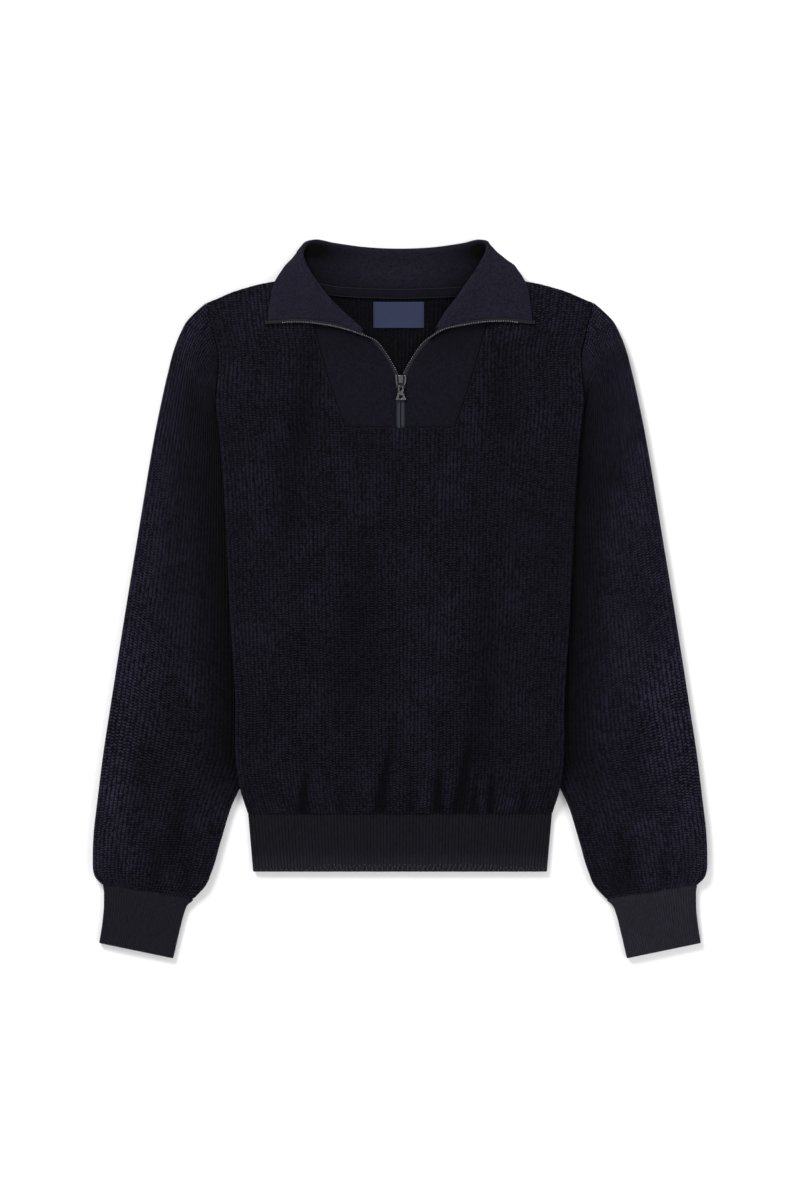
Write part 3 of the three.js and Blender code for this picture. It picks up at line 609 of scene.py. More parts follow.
def new_group(name: str, inputs: dict[str, float | None], outputs: Sequence[str]) -> tuple[Graph, object, object]:
    """Starts a shader node group.

    Args:
        name: the group's name.
        inputs: number inputs by name with their usual values, or None for a vector.
        outputs: names of the number outputs.

    Returns:
        The graph, its input node and its output node.
    """
    tree = bpy.data.node_groups.new(name, "ShaderNodeTree")
    for label, value in inputs.items():
        kind = "NodeSocketVector" if value is None else "NodeSocketFloat"
        socket = tree.interface.new_socket(label, in_out="INPUT", socket_type=kind)
        if value is not None:
            socket.default_value = value
    for label in outputs:
        tree.interface.new_socket(label, in_out="OUTPUT", socket_type="NodeSocketFloat")
    return Graph(tree), tree.nodes.new("NodeGroupInput"), tree.nodes.new("NodeGroupOutput")


def knit_group() -> bpy.types.NodeTree:
    """Group of knitted loops: slanting legs on each rib, furrows darkened as painted shade, and loops that differ a
    little.

    Where Patch is high the furrows between ribs show more, and where it is low the rows do.

    Returns:
        The group, with outputs Height and Tone from 0 to 1; Tone is low in the furrows and between rows as painted
        shade.
    """
    patch_swing = 1.6
    rib_shift = 0.6
    height_mixed = 0.4
    inputs = {"Count": None, "Patch": 0.5, "Lean": 0.8, "Loop": 0.5, "Furrow": 0.6, "Narrow": 3.0, "Mixed": 0.5}
    graph, given, out = new_group("knit loops", inputs, ("Height", "Tone"))

    def chance(x: bpy.types.NodeSocket, y: object) -> bpy.types.NodeSocket:
        """Random number for each pair of whole numbers."""
        cell = graph.node("ShaderNodeCombineXYZ", X=x, Y=y)
        noise = graph.node("ShaderNodeTexWhiteNoise", Vector=cell.outputs["Vector"])
        noise.noise_dimensions = "2D"
        return noise.outputs["Value"]

    parts = graph.node("ShaderNodeSeparateXYZ", Vector=given.outputs["Count"])
    across, along = parts.outputs["X"], parts.outputs["Y"]
    aside = graph.math("ABSOLUTE", graph.about(graph.math("FRACT", across), 2.0, 0.0))
    start = graph.math("MULTIPLY_ADD", chance(graph.math("FLOOR", across), 0.0), rib_shift, along)
    slanted = graph.math("MULTIPLY_ADD", aside, given.outputs["Lean"], start)
    wave = graph.math("SINE", graph.math("MULTIPLY", slanted, math.tau))
    between = graph.math("MULTIPLY_ADD", wave, -0.5, 0.5)
    ribbed = graph.math("MULTIPLY", given.outputs["Furrow"], graph.about(given.outputs["Patch"], patch_swing))
    rowed = graph.math("MULTIPLY", given.outputs["Loop"], graph.about(given.outputs["Patch"], -patch_swing))
    side = graph.math("MULTIPLY", ribbed, graph.math("POWER", aside, given.outputs["Narrow"]))
    crown = graph.math("SUBTRACT", 1.0, side)
    height = graph.math("MULTIPLY", crown, graph.math("SUBTRACT", 1.0, graph.math("MULTIPLY", between, rowed)))
    leg = chance(graph.math("FLOOR", graph.math("MULTIPLY", across, 2.0)), graph.math("FLOOR", slanted))
    lot = graph.math("MULTIPLY_ADD", graph.about(leg, 2.0, 0.0), given.outputs["Mixed"], 1.0)
    graph.feed(out.inputs["Height"], graph.math(
        "MULTIPLY", height, graph.math("MULTIPLY_ADD", lot, height_mixed, 1 - height_mixed)))
    # Tone carries painted shade, low in the furrows and between rows, and differs at random from loop to loop.
    graph.feed(out.inputs["Tone"], graph.math("MULTIPLY", height, lot))
    return graph.tree


def fuzz_group() -> bpy.types.NodeTree:
    """Group of loose fibre and uneven dye, on object coordinates.

    Returns:
        The group, with outputs Fibre and Patch from 0 to 1.
    """
    graph, given, out = new_group("fibre and dye", {"Place": None, "Fibre Scale": 900.0, "Patch Scale": 30.0},
                                  ("Fibre", "Patch"))
    for label, detail, roughness in (("Fibre", 3.0, 0.7), ("Patch", 2.0, 0.5)):
        noise = graph.node("ShaderNodeTexNoise", Vector=given.outputs["Place"],
                           Scale=given.outputs[f"{label} Scale"], Detail=detail, Roughness=roughness)
        graph.feed(out.inputs[label], noise.outputs["Fac"])
    return graph.tree


def weave_group() -> bpy.types.NodeTree:
    """Group of plain woven threads crossing over and under.

    Returns:
        The group, with outputs Height and Thread from 0 to 1.
    """
    graph, given, out = new_group("plain weave", {"Place": None, "Threads": 2000.0}, ("Height", "Thread"))
    parts = graph.node("ShaderNodeSeparateXYZ", Vector=given.outputs["Place"])
    across, along = (graph.math("SINE", graph.math("MULTIPLY", parts.outputs[axis], given.outputs["Threads"]))
                     for axis in ("X", "Y"))
    cross = graph.math("MULTIPLY", across, along)
    graph.feed(out.inputs["Height"], graph.math("MULTIPLY_ADD", cross, 0.5, 0.5))
    graph.feed(out.inputs["Thread"], graph.math("MULTIPLY_ADD", across, 0.5, 0.5))
    return graph.tree


@dataclass(frozen=True)
class KnitFinish:
    """Knitted yarn: its colours on the loops and between them, the colour between them partly painted shade in the
    furrows and partly random loop tone, and how strongly its loops show.
    """

    name: str
    loop: Colour
    # gap: the colour where Tone is 0, painted shade in the furrows and between rows, also reached by loops darker at
    # random.
    gap: Colour
    bump: float = 0.6
    relief: float = 0.5
    lean: float = 0.8
    loop_depth: float = 0.5
    furrow: float = 0.6
    narrow: float = 3.0
    mixed: float = 0.5
    grain: float = 0.7
    wobble: float = 0.5
    dye: float = 0.24
    fibre_relief: float = 0.35
    shading: float = 0.75
    roughness: float = 0.9
    roughness_spread: float = 0.1
    specular: float = 0.05
    sheen: float = 0.03
    sheen_roughness: float = 0.6
    sheen_tint: Colour = (0.55, 0.55, 0.75, 1.0)

    def material(self, groups: "Groups") -> bpy.types.Material:
        """Builds the material.

        Args:
            groups: the shared node groups.

        Returns:
            The material.
        """
        made, graph, shader = new_material(self.name)
        count = graph.node("ShaderNodeUVMap")
        count.uv_map = KNIT_UV
        place = graph.node("ShaderNodeTexCoord").outputs["Object"]
        fuzz = graph.group(groups.fuzz, Place=place)
        shift = graph.node("ShaderNodeCombineXYZ", X=0.0, Y=graph.about(fuzz.outputs["Patch"], self.wobble, 0.0))
        moved = graph.node("ShaderNodeVectorMath", Vector=count.outputs["UV"])
        moved.operation = "ADD"
        graph.feed(moved.inputs[1], shift.outputs["Vector"])
        knit = graph.group(groups.knit, Count=moved.outputs["Vector"], Patch=fuzz.outputs["Patch"], Lean=self.lean,
                           Loop=self.loop_depth, Furrow=self.furrow, Narrow=self.narrow, Mixed=self.mixed)
        tone = graph.math("MULTIPLY", knit.outputs["Tone"], graph.about(fuzz.outputs["Fibre"], self.grain))
        dyed = graph.math("MULTIPLY", tone, graph.about(fuzz.outputs["Patch"], self.dye))
        graph.feed(shader.inputs["Base Color"], graph.shaded(graph.mix(dyed, self.gap, self.loop), self.shading))
        relief = graph.math("MULTIPLY_ADD", fuzz.outputs["Fibre"], self.fibre_relief, knit.outputs["Height"])
        bump = graph.node("ShaderNodeBump", Strength=self.bump, Distance=self.relief * MILLIMETRE, Height=relief)
        graph.feed(shader.inputs["Normal"], bump.outputs["Normal"])
        graph.feed(shader.inputs["Roughness"], graph.about(
            fuzz.outputs["Fibre"], self.roughness_spread, self.roughness))
        shader.inputs["Specular IOR Level"].default_value = self.specular
        shader.inputs["Sheen Weight"].default_value = self.sheen
        shader.inputs["Sheen Roughness"].default_value = self.sheen_roughness
        shader.inputs["Sheen Tint"].default_value = self.sheen_tint
        return made


@dataclass(frozen=True)
class WovenFinish:
    """Woven cloth such as a label or a zip tape, with painted shade where its threads dip under one another."""

    name: str
    thread: Colour
    # gap: the colour where the weave's height is low, painted shade where threads pass under one another.
    gap: Colour
    threads: float
    fibre_scale: float = 1500.0
    patch_scale: float = 80.0
    grain: float = 0.6
    bump: float = 0.5
    relief: float = 0.15
    roughness: float = 0.7
    roughness_spread: float = 0.1
    specular: float = 0.15
    sheen: float = 0.02
    shading: float = 0.75

    def material(self, groups: "Groups") -> bpy.types.Material:
        """Builds the material.

        Args:
            groups: the shared node groups.

        Returns:
            The material.
        """
        made, graph, shader = new_material(self.name)
        place = graph.node("ShaderNodeTexCoord").outputs["Object"]
        weave = graph.group(groups.weave, Place=place, Threads=self.threads)
        fuzz = graph.group(groups.fuzz, Place=place, Fibre_Scale=self.fibre_scale, Patch_Scale=self.patch_scale)
        tone = graph.math("MULTIPLY", weave.outputs["Height"], graph.about(fuzz.outputs["Fibre"], self.grain))
        graph.feed(shader.inputs["Base Color"], graph.shaded(graph.mix(tone, self.gap, self.thread), self.shading))
        bump = graph.node("ShaderNodeBump", Strength=self.bump, Distance=self.relief * MILLIMETRE,
                          Height=weave.outputs["Height"])
        graph.feed(shader.inputs["Normal"], bump.outputs["Normal"])
        graph.feed(shader.inputs["Roughness"], graph.about(
            weave.outputs["Thread"], self.roughness_spread, self.roughness))
        shader.inputs["Specular IOR Level"].default_value = self.specular
        shader.inputs["Sheen Weight"].default_value = self.sheen
        return made


@dataclass(frozen=True)
class MetalFinish:
    """Plated zip metal, mixed from a bright and a dull colour in random patches."""

    name: str
    bright: Colour
    dull: Colour
    roughness: float = 0.3
    roughness_spread: float = 0.2
    fibre_scale: float = 2500.0
    patch_scale: float = 400.0
    bump: float = 0.2
    relief: float = 0.05

    def material(self, groups: "Groups") -> bpy.types.Material:
        """Builds the material.

        Args:
            groups: the shared node groups.

        Returns:
            The material.
        """
        made, graph, shader = new_material(self.name)
        place = graph.node("ShaderNodeTexCoord").outputs["Object"]
        fuzz = graph.group(groups.fuzz, Place=place, Fibre_Scale=self.fibre_scale, Patch_Scale=self.patch_scale)
        graph.feed(shader.inputs["Base Color"], graph.mix(fuzz.outputs["Patch"], self.dull, self.bright))
        graph.feed(shader.inputs["Roughness"], graph.about(
            fuzz.outputs["Fibre"], self.roughness_spread, self.roughness))
        bump = graph.node("ShaderNodeBump", Strength=self.bump, Distance=self.relief * MILLIMETRE,
                          Height=fuzz.outputs["Fibre"])
        graph.feed(shader.inputs["Normal"], bump.outputs["Normal"])
        shader.inputs["Metallic"].default_value = 1.0
        return made


def new_material(name: str) -> tuple[bpy.types.Material, Graph, bpy.types.Node]:
    """Starts a material.

    Args:
        name: the material's name.

    Returns:
        The material, its graph and its main shader.
    """
    made = bpy.data.materials.new(name)
    made.use_nodes = True
    return made, Graph(made.node_tree), made.node_tree.nodes["Principled BSDF"]


@dataclass(frozen=True)
class Groups:
    """The node groups that several materials share."""

    knit: bpy.types.NodeTree
    fuzz: bpy.types.NodeTree
    weave: bpy.types.NodeTree


@dataclass(frozen=True)
class Finishes:
    """All finishes of the garment, built once."""

    rib: bpy.types.Material
    band: bpy.types.Material
    smooth: bpy.types.Material
    neck_band: bpy.types.Material
    label: bpy.types.Material
    tape: bpy.types.Material
    bound: bpy.types.Material
    thread: bpy.types.Material
    seam: bpy.types.Material
    metal: bpy.types.Material
    dark: bpy.types.Material
    teeth: bpy.types.Material


def make_finishes() -> Finishes:
    """Builds the shared groups and every finish.

    Returns:
        The finishes.
    """
    groups = Groups(knit_group(), fuzz_group(), weave_group())
    rib = KnitFinish("navy rib knit", (0.0114, 0.0101, 0.0200, 1), (0.0001, 0.0001, 0.0002, 1), bump=0.9,
                     lean=0.4, furrow=1.0, loop_depth=1.0, mixed=0.82, grain=3.2)
    band = KnitFinish("navy band rib", (0.0081, 0.0076, 0.0109, 1), (0.0012, 0.0011, 0.0018, 1), bump=0.7,
                      relief=0.35, furrow=0.65, loop_depth=0.3, mixed=0.3)
    smooth = KnitFinish("navy smooth knit", (0.0119, 0.0106, 0.0197, 1), (0.0022, 0.0020, 0.0038, 1), bump=0.4,
                        relief=0.2, furrow=0.3, loop_depth=0.35, mixed=0.7)
    # The neck band's colours are the smooth knit's darkened by about half, painted shade where the band lies in the
    # shadow inside the neck.
    neck_band = KnitFinish("navy neck band in painted shade", (0.0064, 0.0062, 0.0108, 1), (0.0012, 0.0011, 0.0020, 1), bump=0.8,
                           relief=0.3, furrow=0.5, loop_depth=0.7)
    label = WovenFinish("woven label ground", (0.0265, 0.033, 0.078, 1), (0.012, 0.0155, 0.040, 1), 9000.0,
                        roughness=0.55)
    tape = WovenFinish("zip tape", (0.022, 0.024, 0.034, 1), (0.008, 0.009, 0.013, 1), 7000.0)
    # The bound-off yarn is several times brighter than the knit, painted highlight where the bound-off loops above
    # the hem's edge catch the light.
    bound = WovenFinish("bound-off yarn highlight", (0.060, 0.058, 0.072, 1), (0.022, 0.021, 0.027, 1), 12000.0)
    thread = WovenFinish("linking yarn", (0.026, 0.024, 0.036, 1), (0.010, 0.009, 0.014, 1), 12000.0)
    seam = WovenFinish("seam yarn", (0.0068, 0.0062, 0.0105, 1), (0.002, 0.0018, 0.0032, 1), 12000.0)
    # The pull and the slider's raised trim take the bright plate; on the trim it is a painted highlight on the raised
    # metal of the darker gunmetal slider.
    metal = MetalFinish("bright plate", (0.30, 0.29, 0.31, 1), (0.10, 0.098, 0.11, 1), roughness=0.3)
    dark = MetalFinish("gunmetal plate", (0.075, 0.072, 0.080, 1), (0.014, 0.014, 0.016, 1), roughness=0.35)
    teeth = MetalFinish("zip teeth metal", (0.30, 0.30, 0.33, 1), (0.07, 0.07, 0.08, 1), roughness=0.35)
    return Finishes(*(finish.material(groups) for finish in (
        rib, band, smooth, neck_band, label, tape, bound, thread, seam, metal, dark, teeth)))


def items_tree() -> bpy.types.NodeTree:
    """Geometry Nodes tree that sets small rounded items along a path, such as teeth or stitches.

    Returns:
        The tree, with inputs Path, Pitch, Long, Wide, Tall, Turn, Loose, Seed and Finish.
    """
    edge_crease = 0.35
    least, most, value = 2, 3, 1
    tree = bpy.data.node_groups.new("items along a path", "GeometryNodeTree")
    graph = Graph(tree)
    sockets = {"Path": "NodeSocketGeometry",
               **dict.fromkeys(("Pitch", "Long", "Wide", "Tall", "Turn", "Loose"), "NodeSocketFloat"),
               "Seed": "NodeSocketInt", "Finish": "NodeSocketMaterial"}
    for label, kind in sockets.items():
        tree.interface.new_socket(label, in_out="INPUT", socket_type=kind)
    tree.interface.new_socket("Items", in_out="OUTPUT", socket_type="NodeSocketGeometry")
    given = graph.node("NodeGroupInput").outputs
    curve = graph.node("GeometryNodeMeshToCurve", Mesh=given["Path"])
    spaced = graph.node("GeometryNodeResampleCurve", Curve=curve.outputs["Curve"])
    spaced.mode = "LENGTH"
    graph.feed(spaced.inputs["Length"], given["Pitch"])
    size = graph.node("ShaderNodeCombineXYZ", X=given["Long"], Y=given["Wide"], Z=given["Tall"])
    block = graph.node("GeometryNodeMeshCube", Size=size.outputs["Vector"])
    rounded = graph.node("GeometryNodeSubdivisionSurface", Mesh=block.outputs["Mesh"], Level=1,
                         Edge_Crease=edge_crease)
    up = graph.node("GeometryNodeInputNamedAttribute", Name=UP_ATTRIBUTE)
    up.data_type = "FLOAT_VECTOR"
    tangent = graph.node("GeometryNodeInputTangent")
    turned = graph.node("FunctionNodeAxesToRotation", Primary_Axis=up.outputs["Attribute"],
                        Secondary_Axis=tangent.outputs["Tangent"])
    turned.primary_axis = "Z"
    turned.secondary_axis = "X"
    placed = graph.node("GeometryNodeInstanceOnPoints", Points=spaced.outputs["Curve"],
                        Instance=rounded.outputs["Mesh"], Rotation=turned.outputs["Rotation"])
    chance = graph.node("FunctionNodeRandomValue", Seed=given["Seed"])
    chance.data_type = "FLOAT"
    graph.feed(chance.inputs[least], graph.math("MULTIPLY", given["Loose"], -1.0))
    graph.feed(chance.inputs[most], given["Loose"])
    angles = graph.node("ShaderNodeCombineXYZ", Z=graph.math("ADD", given["Turn"], chance.outputs[value]))
    spun = graph.node("GeometryNodeRotateInstances", Instances=placed.outputs["Instances"],
                      Rotation=angles.outputs["Vector"], Local_Space=True)
    real = graph.node("GeometryNodeRealizeInstances", Geometry=spun.outputs["Instances"])
    dressed = graph.node("GeometryNodeSetMaterial", Geometry=real.outputs["Geometry"], Material=given["Finish"])
    graph.node("NodeGroupOutput", Items=dressed.outputs["Geometry"])
    return tree


@dataclass
class Run:
    """Small items set along one or more paths, made by the shared Geometry Nodes tree."""

    name: str
    pitch: float
    long: float
    wide: float
    tall: float
    turn: float = 0.0
    loose: float = 0.0
    seed: int = 1

    def build(
        self, tree: bpy.types.NodeTree, paths: Sequence[tuple[np.ndarray, np.ndarray]], material: bpy.types.Material
    ) -> bpy.types.Object:
        """Makes the items as one plain mesh.

        Args:
            tree: the shared tree.
            paths: for each path, its points and the direction away from the cloth at each.
            material: the items' finish.

        Returns:
            The new object.
        """
        points = in_frame(np.concatenate([path for path, _ in paths]))
        ends = np.cumsum([0] + [len(path) for path, _ in paths])
        edges = [(i, i + 1) for a, b in zip(ends[:-1], ends[1:]) for i in range(a, b - 1)]
        mesh = bpy.data.meshes.new(self.name)
        mesh.from_pydata(points.tolist(), edges, [])
        ups = mesh.attributes.new(UP_ATTRIBUTE, "FLOAT_VECTOR", "POINT")
        ups.data.foreach_set("vector", np.concatenate([up for _, up in paths]).reshape(-1))
        made = linked(self.name, mesh)
        modifier = made.modifiers.new("items", "NODES")
        modifier.node_group = tree
        lengths = {"Pitch": self.pitch, "Long": self.long, "Wide": self.wide, "Tall": self.tall}
        values = {label: length * MILLIMETRE for label, length in lengths.items()}
        values |= {"Turn": self.turn, "Loose": self.loose, "Seed": self.seed, "Finish": material}
        for item in tree.interface.items_tree:
            if item.in_out == "INPUT" and item.name in values:
                modifier[item.identifier] = values[item.name]
        plain = applied(made)
        plain.data.materials.clear()
        plain.data.materials.append(material)
        plain.data.polygons.foreach_set("use_smooth", np.ones(len(plain.data.polygons), dtype=bool))
        return plain


@dataclass(frozen=True)
class TorsoForm:
    """Outline and levels of the laid torso, which the panels, placket and collar share."""

    rib_wall: float = 3.0
    seam: float = 0.3
    hem_tall: float = 58.0
    side_lift: float = 7.0
    lift_span: float = 104.0
    lift_ramp: float = 90.0
    lift_heights: tuple[float, float, float] = (88.0, 470.0, 520.0)
    edge_gap: float = 0.4
    body_gap: float = 2.6
    neck_gap: float = 1.0
    gap_heights: tuple[float, float, float, float] = (42.0, 84.0, 380.0, 440.0)
    gap_fade: tuple[float, float] = (60.0, 4.0)
    armhole_low: float = 474.0
    armhole_high: float = 569.5
    yoke_high: float = 548.0
    hem_gap: float = 0.4
    edge_power: float = 16.0
    seam_rise: float = 0.05
    side: Table = field(default_factory=lambda: {
        "high": (58.4, 80, 95, 175, 272, 349, 391, 434, 472, 515, 542, 570),
        "half": (152.6, 159.2, 162, 164.8, 170.6, 173.6, 176.2, 180, 184, 182.2, 187.4, 194.2)})
    shoulder: Table = field(default_factory=lambda: {
        "x": (0, 102, 125, 159, 194.2), "high": (596, 594.5, 591, 583, 569)})
    placket: Table = field(default_factory=lambda: {
        "high": (444.6, 470, 497, 533, 573, 600), "half": (55, 64, 72.8, 83, 94.4, 101.5)})
    back_neck: Table = field(default_factory=lambda: {
        "x": (0, 35, 70, 88, 96, 101.5), "high": (577.9, 578.8, 581.6, 585.8, 589.2, 600)})

    @property
    def foot(self) -> float:
        """Height of the panels' lower edge, just clear of the hem band."""
        return self.hem_tall + self.hem_gap

    def half(self, high: np.ndarray) -> np.ndarray:
        """Half width of the torso."""
        return read(self.side, "high", "half", high)

    def shoulder_high(self, x: np.ndarray) -> np.ndarray:
        """Height of the shoulder seam."""
        return read(self.shoulder, "x", "high", np.abs(x))

    def placket_half(self, high: np.ndarray) -> np.ndarray:
        """Half width of the trapezoid for the placket."""
        return np.interp(high, self.placket["high"], self.placket["half"])

    def lift(self, x: np.ndarray, high: np.ndarray) -> np.ndarray:
        """How far the torso's sides are lifted by the sleeves under them."""
        full, less, none = self.lift_heights
        along = ease(self.hem_tall, full, high) * (1 - ease(less, none, high))
        start = self.half(high) - self.lift_span
        return self.side_lift * along * ease(0, self.lift_ramp, np.abs(x) - start)

    def gap(self, x: np.ndarray, high: np.ndarray) -> np.ndarray:
        """Space between the two panels."""
        start, full, less, least = self.gap_heights
        body = lerp(self.body_gap, self.neck_gap, ease(less, least, high)) * ease(start, full, high)
        outer, inner = self.gap_fade
        near = np.abs(x) - self.half(high)
        return self.edge_gap + body * (1 - ease(-outer, -inner, near))

    def seam_level(self, high: np.ndarray) -> np.ndarray:
        """Height of the side seam."""
        return self.lift(self.half(high), high) + self.rib_wall + self.seam / 2 + self.seam_rise

    def plan(self, across: np.ndarray, base: np.ndarray, inset: float) -> tuple[np.ndarray, np.ndarray]:
        """Plan of the panels' grid: level rows that bend to the shoulder at the top.

        Args:
            across: places from -1 to 1, one for each column.
            base: heights of the rows at the armhole.
            inset: how far the sides are drawn in.

        Returns:
            x and high for each row and column.
        """
        x = across[None, :] * (self.half(base) - inset)[:, None]
        share = np.clip((base - self.yoke_high) / (self.armhole_high - self.yoke_high), 0, 1)[:, None]
        high = base[:, None] + (self.shoulder_high(x) - self.armhole_high) * share
        return x, high

    def area(self, neck_half: Sequence[float], neck_high: Sequence[float]) -> float:
        """Flat area of a panel in square metres, less its neck.

        Args:
            neck_half: half widths of the neck's opening, from its bottom up.
            neck_high: their heights.

        Returns:
            The area.
        """
        high = np.linspace(self.hem_tall, self.armhole_high, 200)
        x = np.linspace(0, float(self.half(self.armhole_high)), 100)
        body = 2 * np.trapz(self.half(high), high)
        yoke = 2 * np.trapz(self.shoulder_high(x) - self.armhole_high, x)
        return float(body + yoke - 2 * np.trapz(neck_half, neck_high)) * MILLIMETRE**2


def rib_profile(place: np.ndarray, deep: float) -> np.ndarray:
    """Height of a rib across its width, 0 on its crest.

    Args:
        place: rib count, whole in the furrows.
        deep: depth of the furrow.

    Returns:
        Heights from -deep to 0.
    """
    roundness = 2.2
    aside = np.abs(2 * (place % 1.0) - 1)
    return -deep * aside**roundness


GATHERS = tuple(Fold(x, 57, lean, tall, wide, -deep, 0.04, 0.85, 0.6) for x, lean, tall, wide, deep in (
    (-97, 4, 64, 6, 2.6), (-60, 4, 38, 6, 1.4), (-21, 18, 110, 6.5, 2.9), (9, 4, 44, 6, 1.3), (37.5, 3, 74, 5.5, 2.7),
    (58, 16, 104, 7.5, 2.8), (73, 4, 50, 5, 1.7), (90, 3, 56, 5.5, 2.2), (122, 4, 48, 7, 1.5)))
GATHER_RIDGES = tuple(Fold(x, 60, lean, tall, wide, rise, 0.05, 0.8) for x, lean, tall, wide, rise in (
    (-86, 4, 50, 6, 0.9), (-36, 6, 50, 8, 0.8), (24, 2, 170, 8, 1.2), (49, 5, 60, 5, 0.9), (81, 5, 46, 4, 0.9),
    (106, 3, 36, 8, 0.6), (-120, 3, 34, 9, 0.6)))
BODY_FOLDS = (
    Fold(80, 90, 12, 270, 17, -1.2, 0.15, 0.6), Fold(30, 120, 10, 190, 18, 0.7, 0.3, 0.5),
    Fold(-52, 150, 22, 250, 24, -0.8, 0.3, 0.5), Fold(-112, 330, 16, 160, 16, -0.8, 0.3, 0.4),
    Fold(104, 420, -6, 130, 17, -0.9, 0.3, 0.3), Fold(-100, 430, 12, 130, 15, -0.9, 0.3, 0.3),
    Fold(-140, 180, 10, 190, 14, 0.6, 0.3, 0.5), Fold(136, 200, 8, 160, 13, 0.6, 0.3, 0.5),
    Fold(4, 330, -14, 90, 26, 0.5, 0.4, 0.5))


@dataclass
class Torso:
    """Front and back panels in wide rib, and how light falls on the front."""

    form: TorsoForm
    ribs: int = 92
    rib_deep: float = 1.0
    cuts_per_rib: int = 4
    rows: int = 224
    plain: int = 36
    plain_rows: int = 60
    crest_rise: float = 0.45
    dark_depth: float = 1.7
    lit_rise: float = 3.5
    shade_range: tuple[float, float] = (-0.6, 1.1)
    shoulder_lit: tuple[float, float] = (0.33, 0.25)
    shoulder_heights: tuple[float, float] = (520.0, 580.0)
    right_reach: tuple[float, float] = (60.0, 130.0)

    def painted_front_shade(self, x: np.ndarray, high: np.ndarray) -> np.ndarray:
        """Painted shade of the front: towards 1 darkened in a crease, below 0 lightened as painted light on a ridge
        and on the shoulders, more on the right one.
        """
        depth = sum(fold.height(x, high) for fold in (*GATHERS, *BODY_FOLDS) if fold.rise < 0)
        both, right = self.shoulder_lit
        shoulder = (both + right * ease(*self.right_reach, x)) * ease(*self.shoulder_heights, high)
        lit = sum(fold.height(x, high) for fold in GATHER_RIDGES) / self.lit_rise + shoulder
        return np.clip(-depth / self.dark_depth - lit, *self.shade_range)

    def surface(self, x: np.ndarray, high: np.ndarray) -> np.ndarray:
        """Level of the front's face on its rib crests, creases included."""
        form = self.form
        gap = form.gap(x, high)
        folds = sum(fold.height(x, high) for fold in (*GATHERS, *GATHER_RIDGES, *BODY_FOLDS))
        swell = 0.7 * uneven(x, high, 38.0, 7) * np.clip(gap - form.edge_gap, 0, 1)
        room = np.clip((gap - 0.3) / 2.7, 0, 1)
        under = form.lift(x, high) + form.rib_wall + gap
        return under + form.rib_wall + self.crest_rise + np.where(folds < 0, folds * room, folds) + swell

    def wander(self, place: np.ndarray, high: np.ndarray) -> np.ndarray:
        """Sideways drift of the ribs, in ribs."""
        return 0.10 * np.sin(high / 31 + place * 0.9) + 0.07 * np.sin(high / 12.7 + place * 2.7)

    def front(self, finishes: Finishes) -> bpy.types.Object:
        """Makes the front panel, cut out for the placket.

        Args:
            finishes: the garment's finishes.

        Returns:
            The piece.
        """
        form = self.form
        across = np.linspace(-1, 1, self.ribs * self.cuts_per_rib + 1)
        base = np.linspace(form.foot, form.armhole_high, self.rows)
        x, high = form.plan(across, base, 0.0)
        count = np.broadcast_to((across + 1) / 2 * self.ribs, x.shape)
        drift = self.wander(np.floor(count), high) * edge_share(across, 6)[None, :]
        x = x + drift * 2 * form.half(base)[:, None] / self.ribs
        top = self.surface(x, high) + rib_profile(count, self.rib_deep) * (1 + 0.15 * uneven(x, high, 7.0, 2))
        seam = form.seam_level(high) + form.seam / 2
        edge = edge_share(across, form.edge_power)[None, :]
        outer = np.stack([x, high, lerp(seam, top, edge)], axis=2)
        outer_uv = np.stack([count, high / Course.RIB.value], axis=2)
        sides = np.linspace(-1, 1, self.plain + 1)
        levels = np.linspace(form.foot, form.armhole_high, self.plain_rows)
        inner_x, inner_high = form.plan(sides, levels, form.rib_wall)
        inner_z = self.surface(inner_x, inner_high) - form.rib_wall - self.crest_rise
        inner_z[:, [0, -1]] = (form.seam_level(inner_high) + form.seam / 2)[:, [0, -1]]
        inner = np.stack([inner_x, inner_high, inner_z], axis=2)
        inner_uv = np.stack([(inner_x / form.half(inner_high) + 1) / 2 * self.ribs,
                             inner_high / Course.RIB.value], axis=2)
        panel = Shell().sheet(outer, outer_uv, inner, inner_uv, self.painted_front_shade(x, high)).object(
            "front_knit", finishes.rib)
        highs = np.array(form.placket["high"])
        sides_right = list(zip(form.placket_half(highs), highs))
        sides_left = [(-half, high) for half, high in sides_right]
        panel = cut_by(panel, [*sides_left[::-1], *sides_right])
        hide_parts("front_panel")
        form.area(form.placket["half"], form.placket["high"])
        return panel

    def back(self, finishes: Finishes) -> bpy.types.Object:
        """Makes the back panel: ribs on the inside seen at the neck and on the side it lies on.

        Args:
            finishes: the garment's finishes.

        Returns:
            The piece.
        """
        form = self.form
        across = np.linspace(-1, 1, self.ribs * self.cuts_per_rib + 1)
        count = (across + 1) / 2 * self.ribs
        under_base = np.linspace(form.foot, form.armhole_high, 64)
        inside_base = np.concatenate([np.linspace(form.foot, 440, 16)[:-1],
                                      np.linspace(440, form.armhole_high, 56)])

        def neck_cut(x: np.ndarray, high: np.ndarray) -> np.ndarray:
            """Draws the top rows down to the neck's edge."""
            edge = np.minimum(form.shoulder_high(x), read(form.back_neck, "x", "high", np.abs(x)))
            top = high[-1]
            share = ease(520, 597, high)
            return high - (top - edge) * share / np.maximum(share[-1], 1e-6)

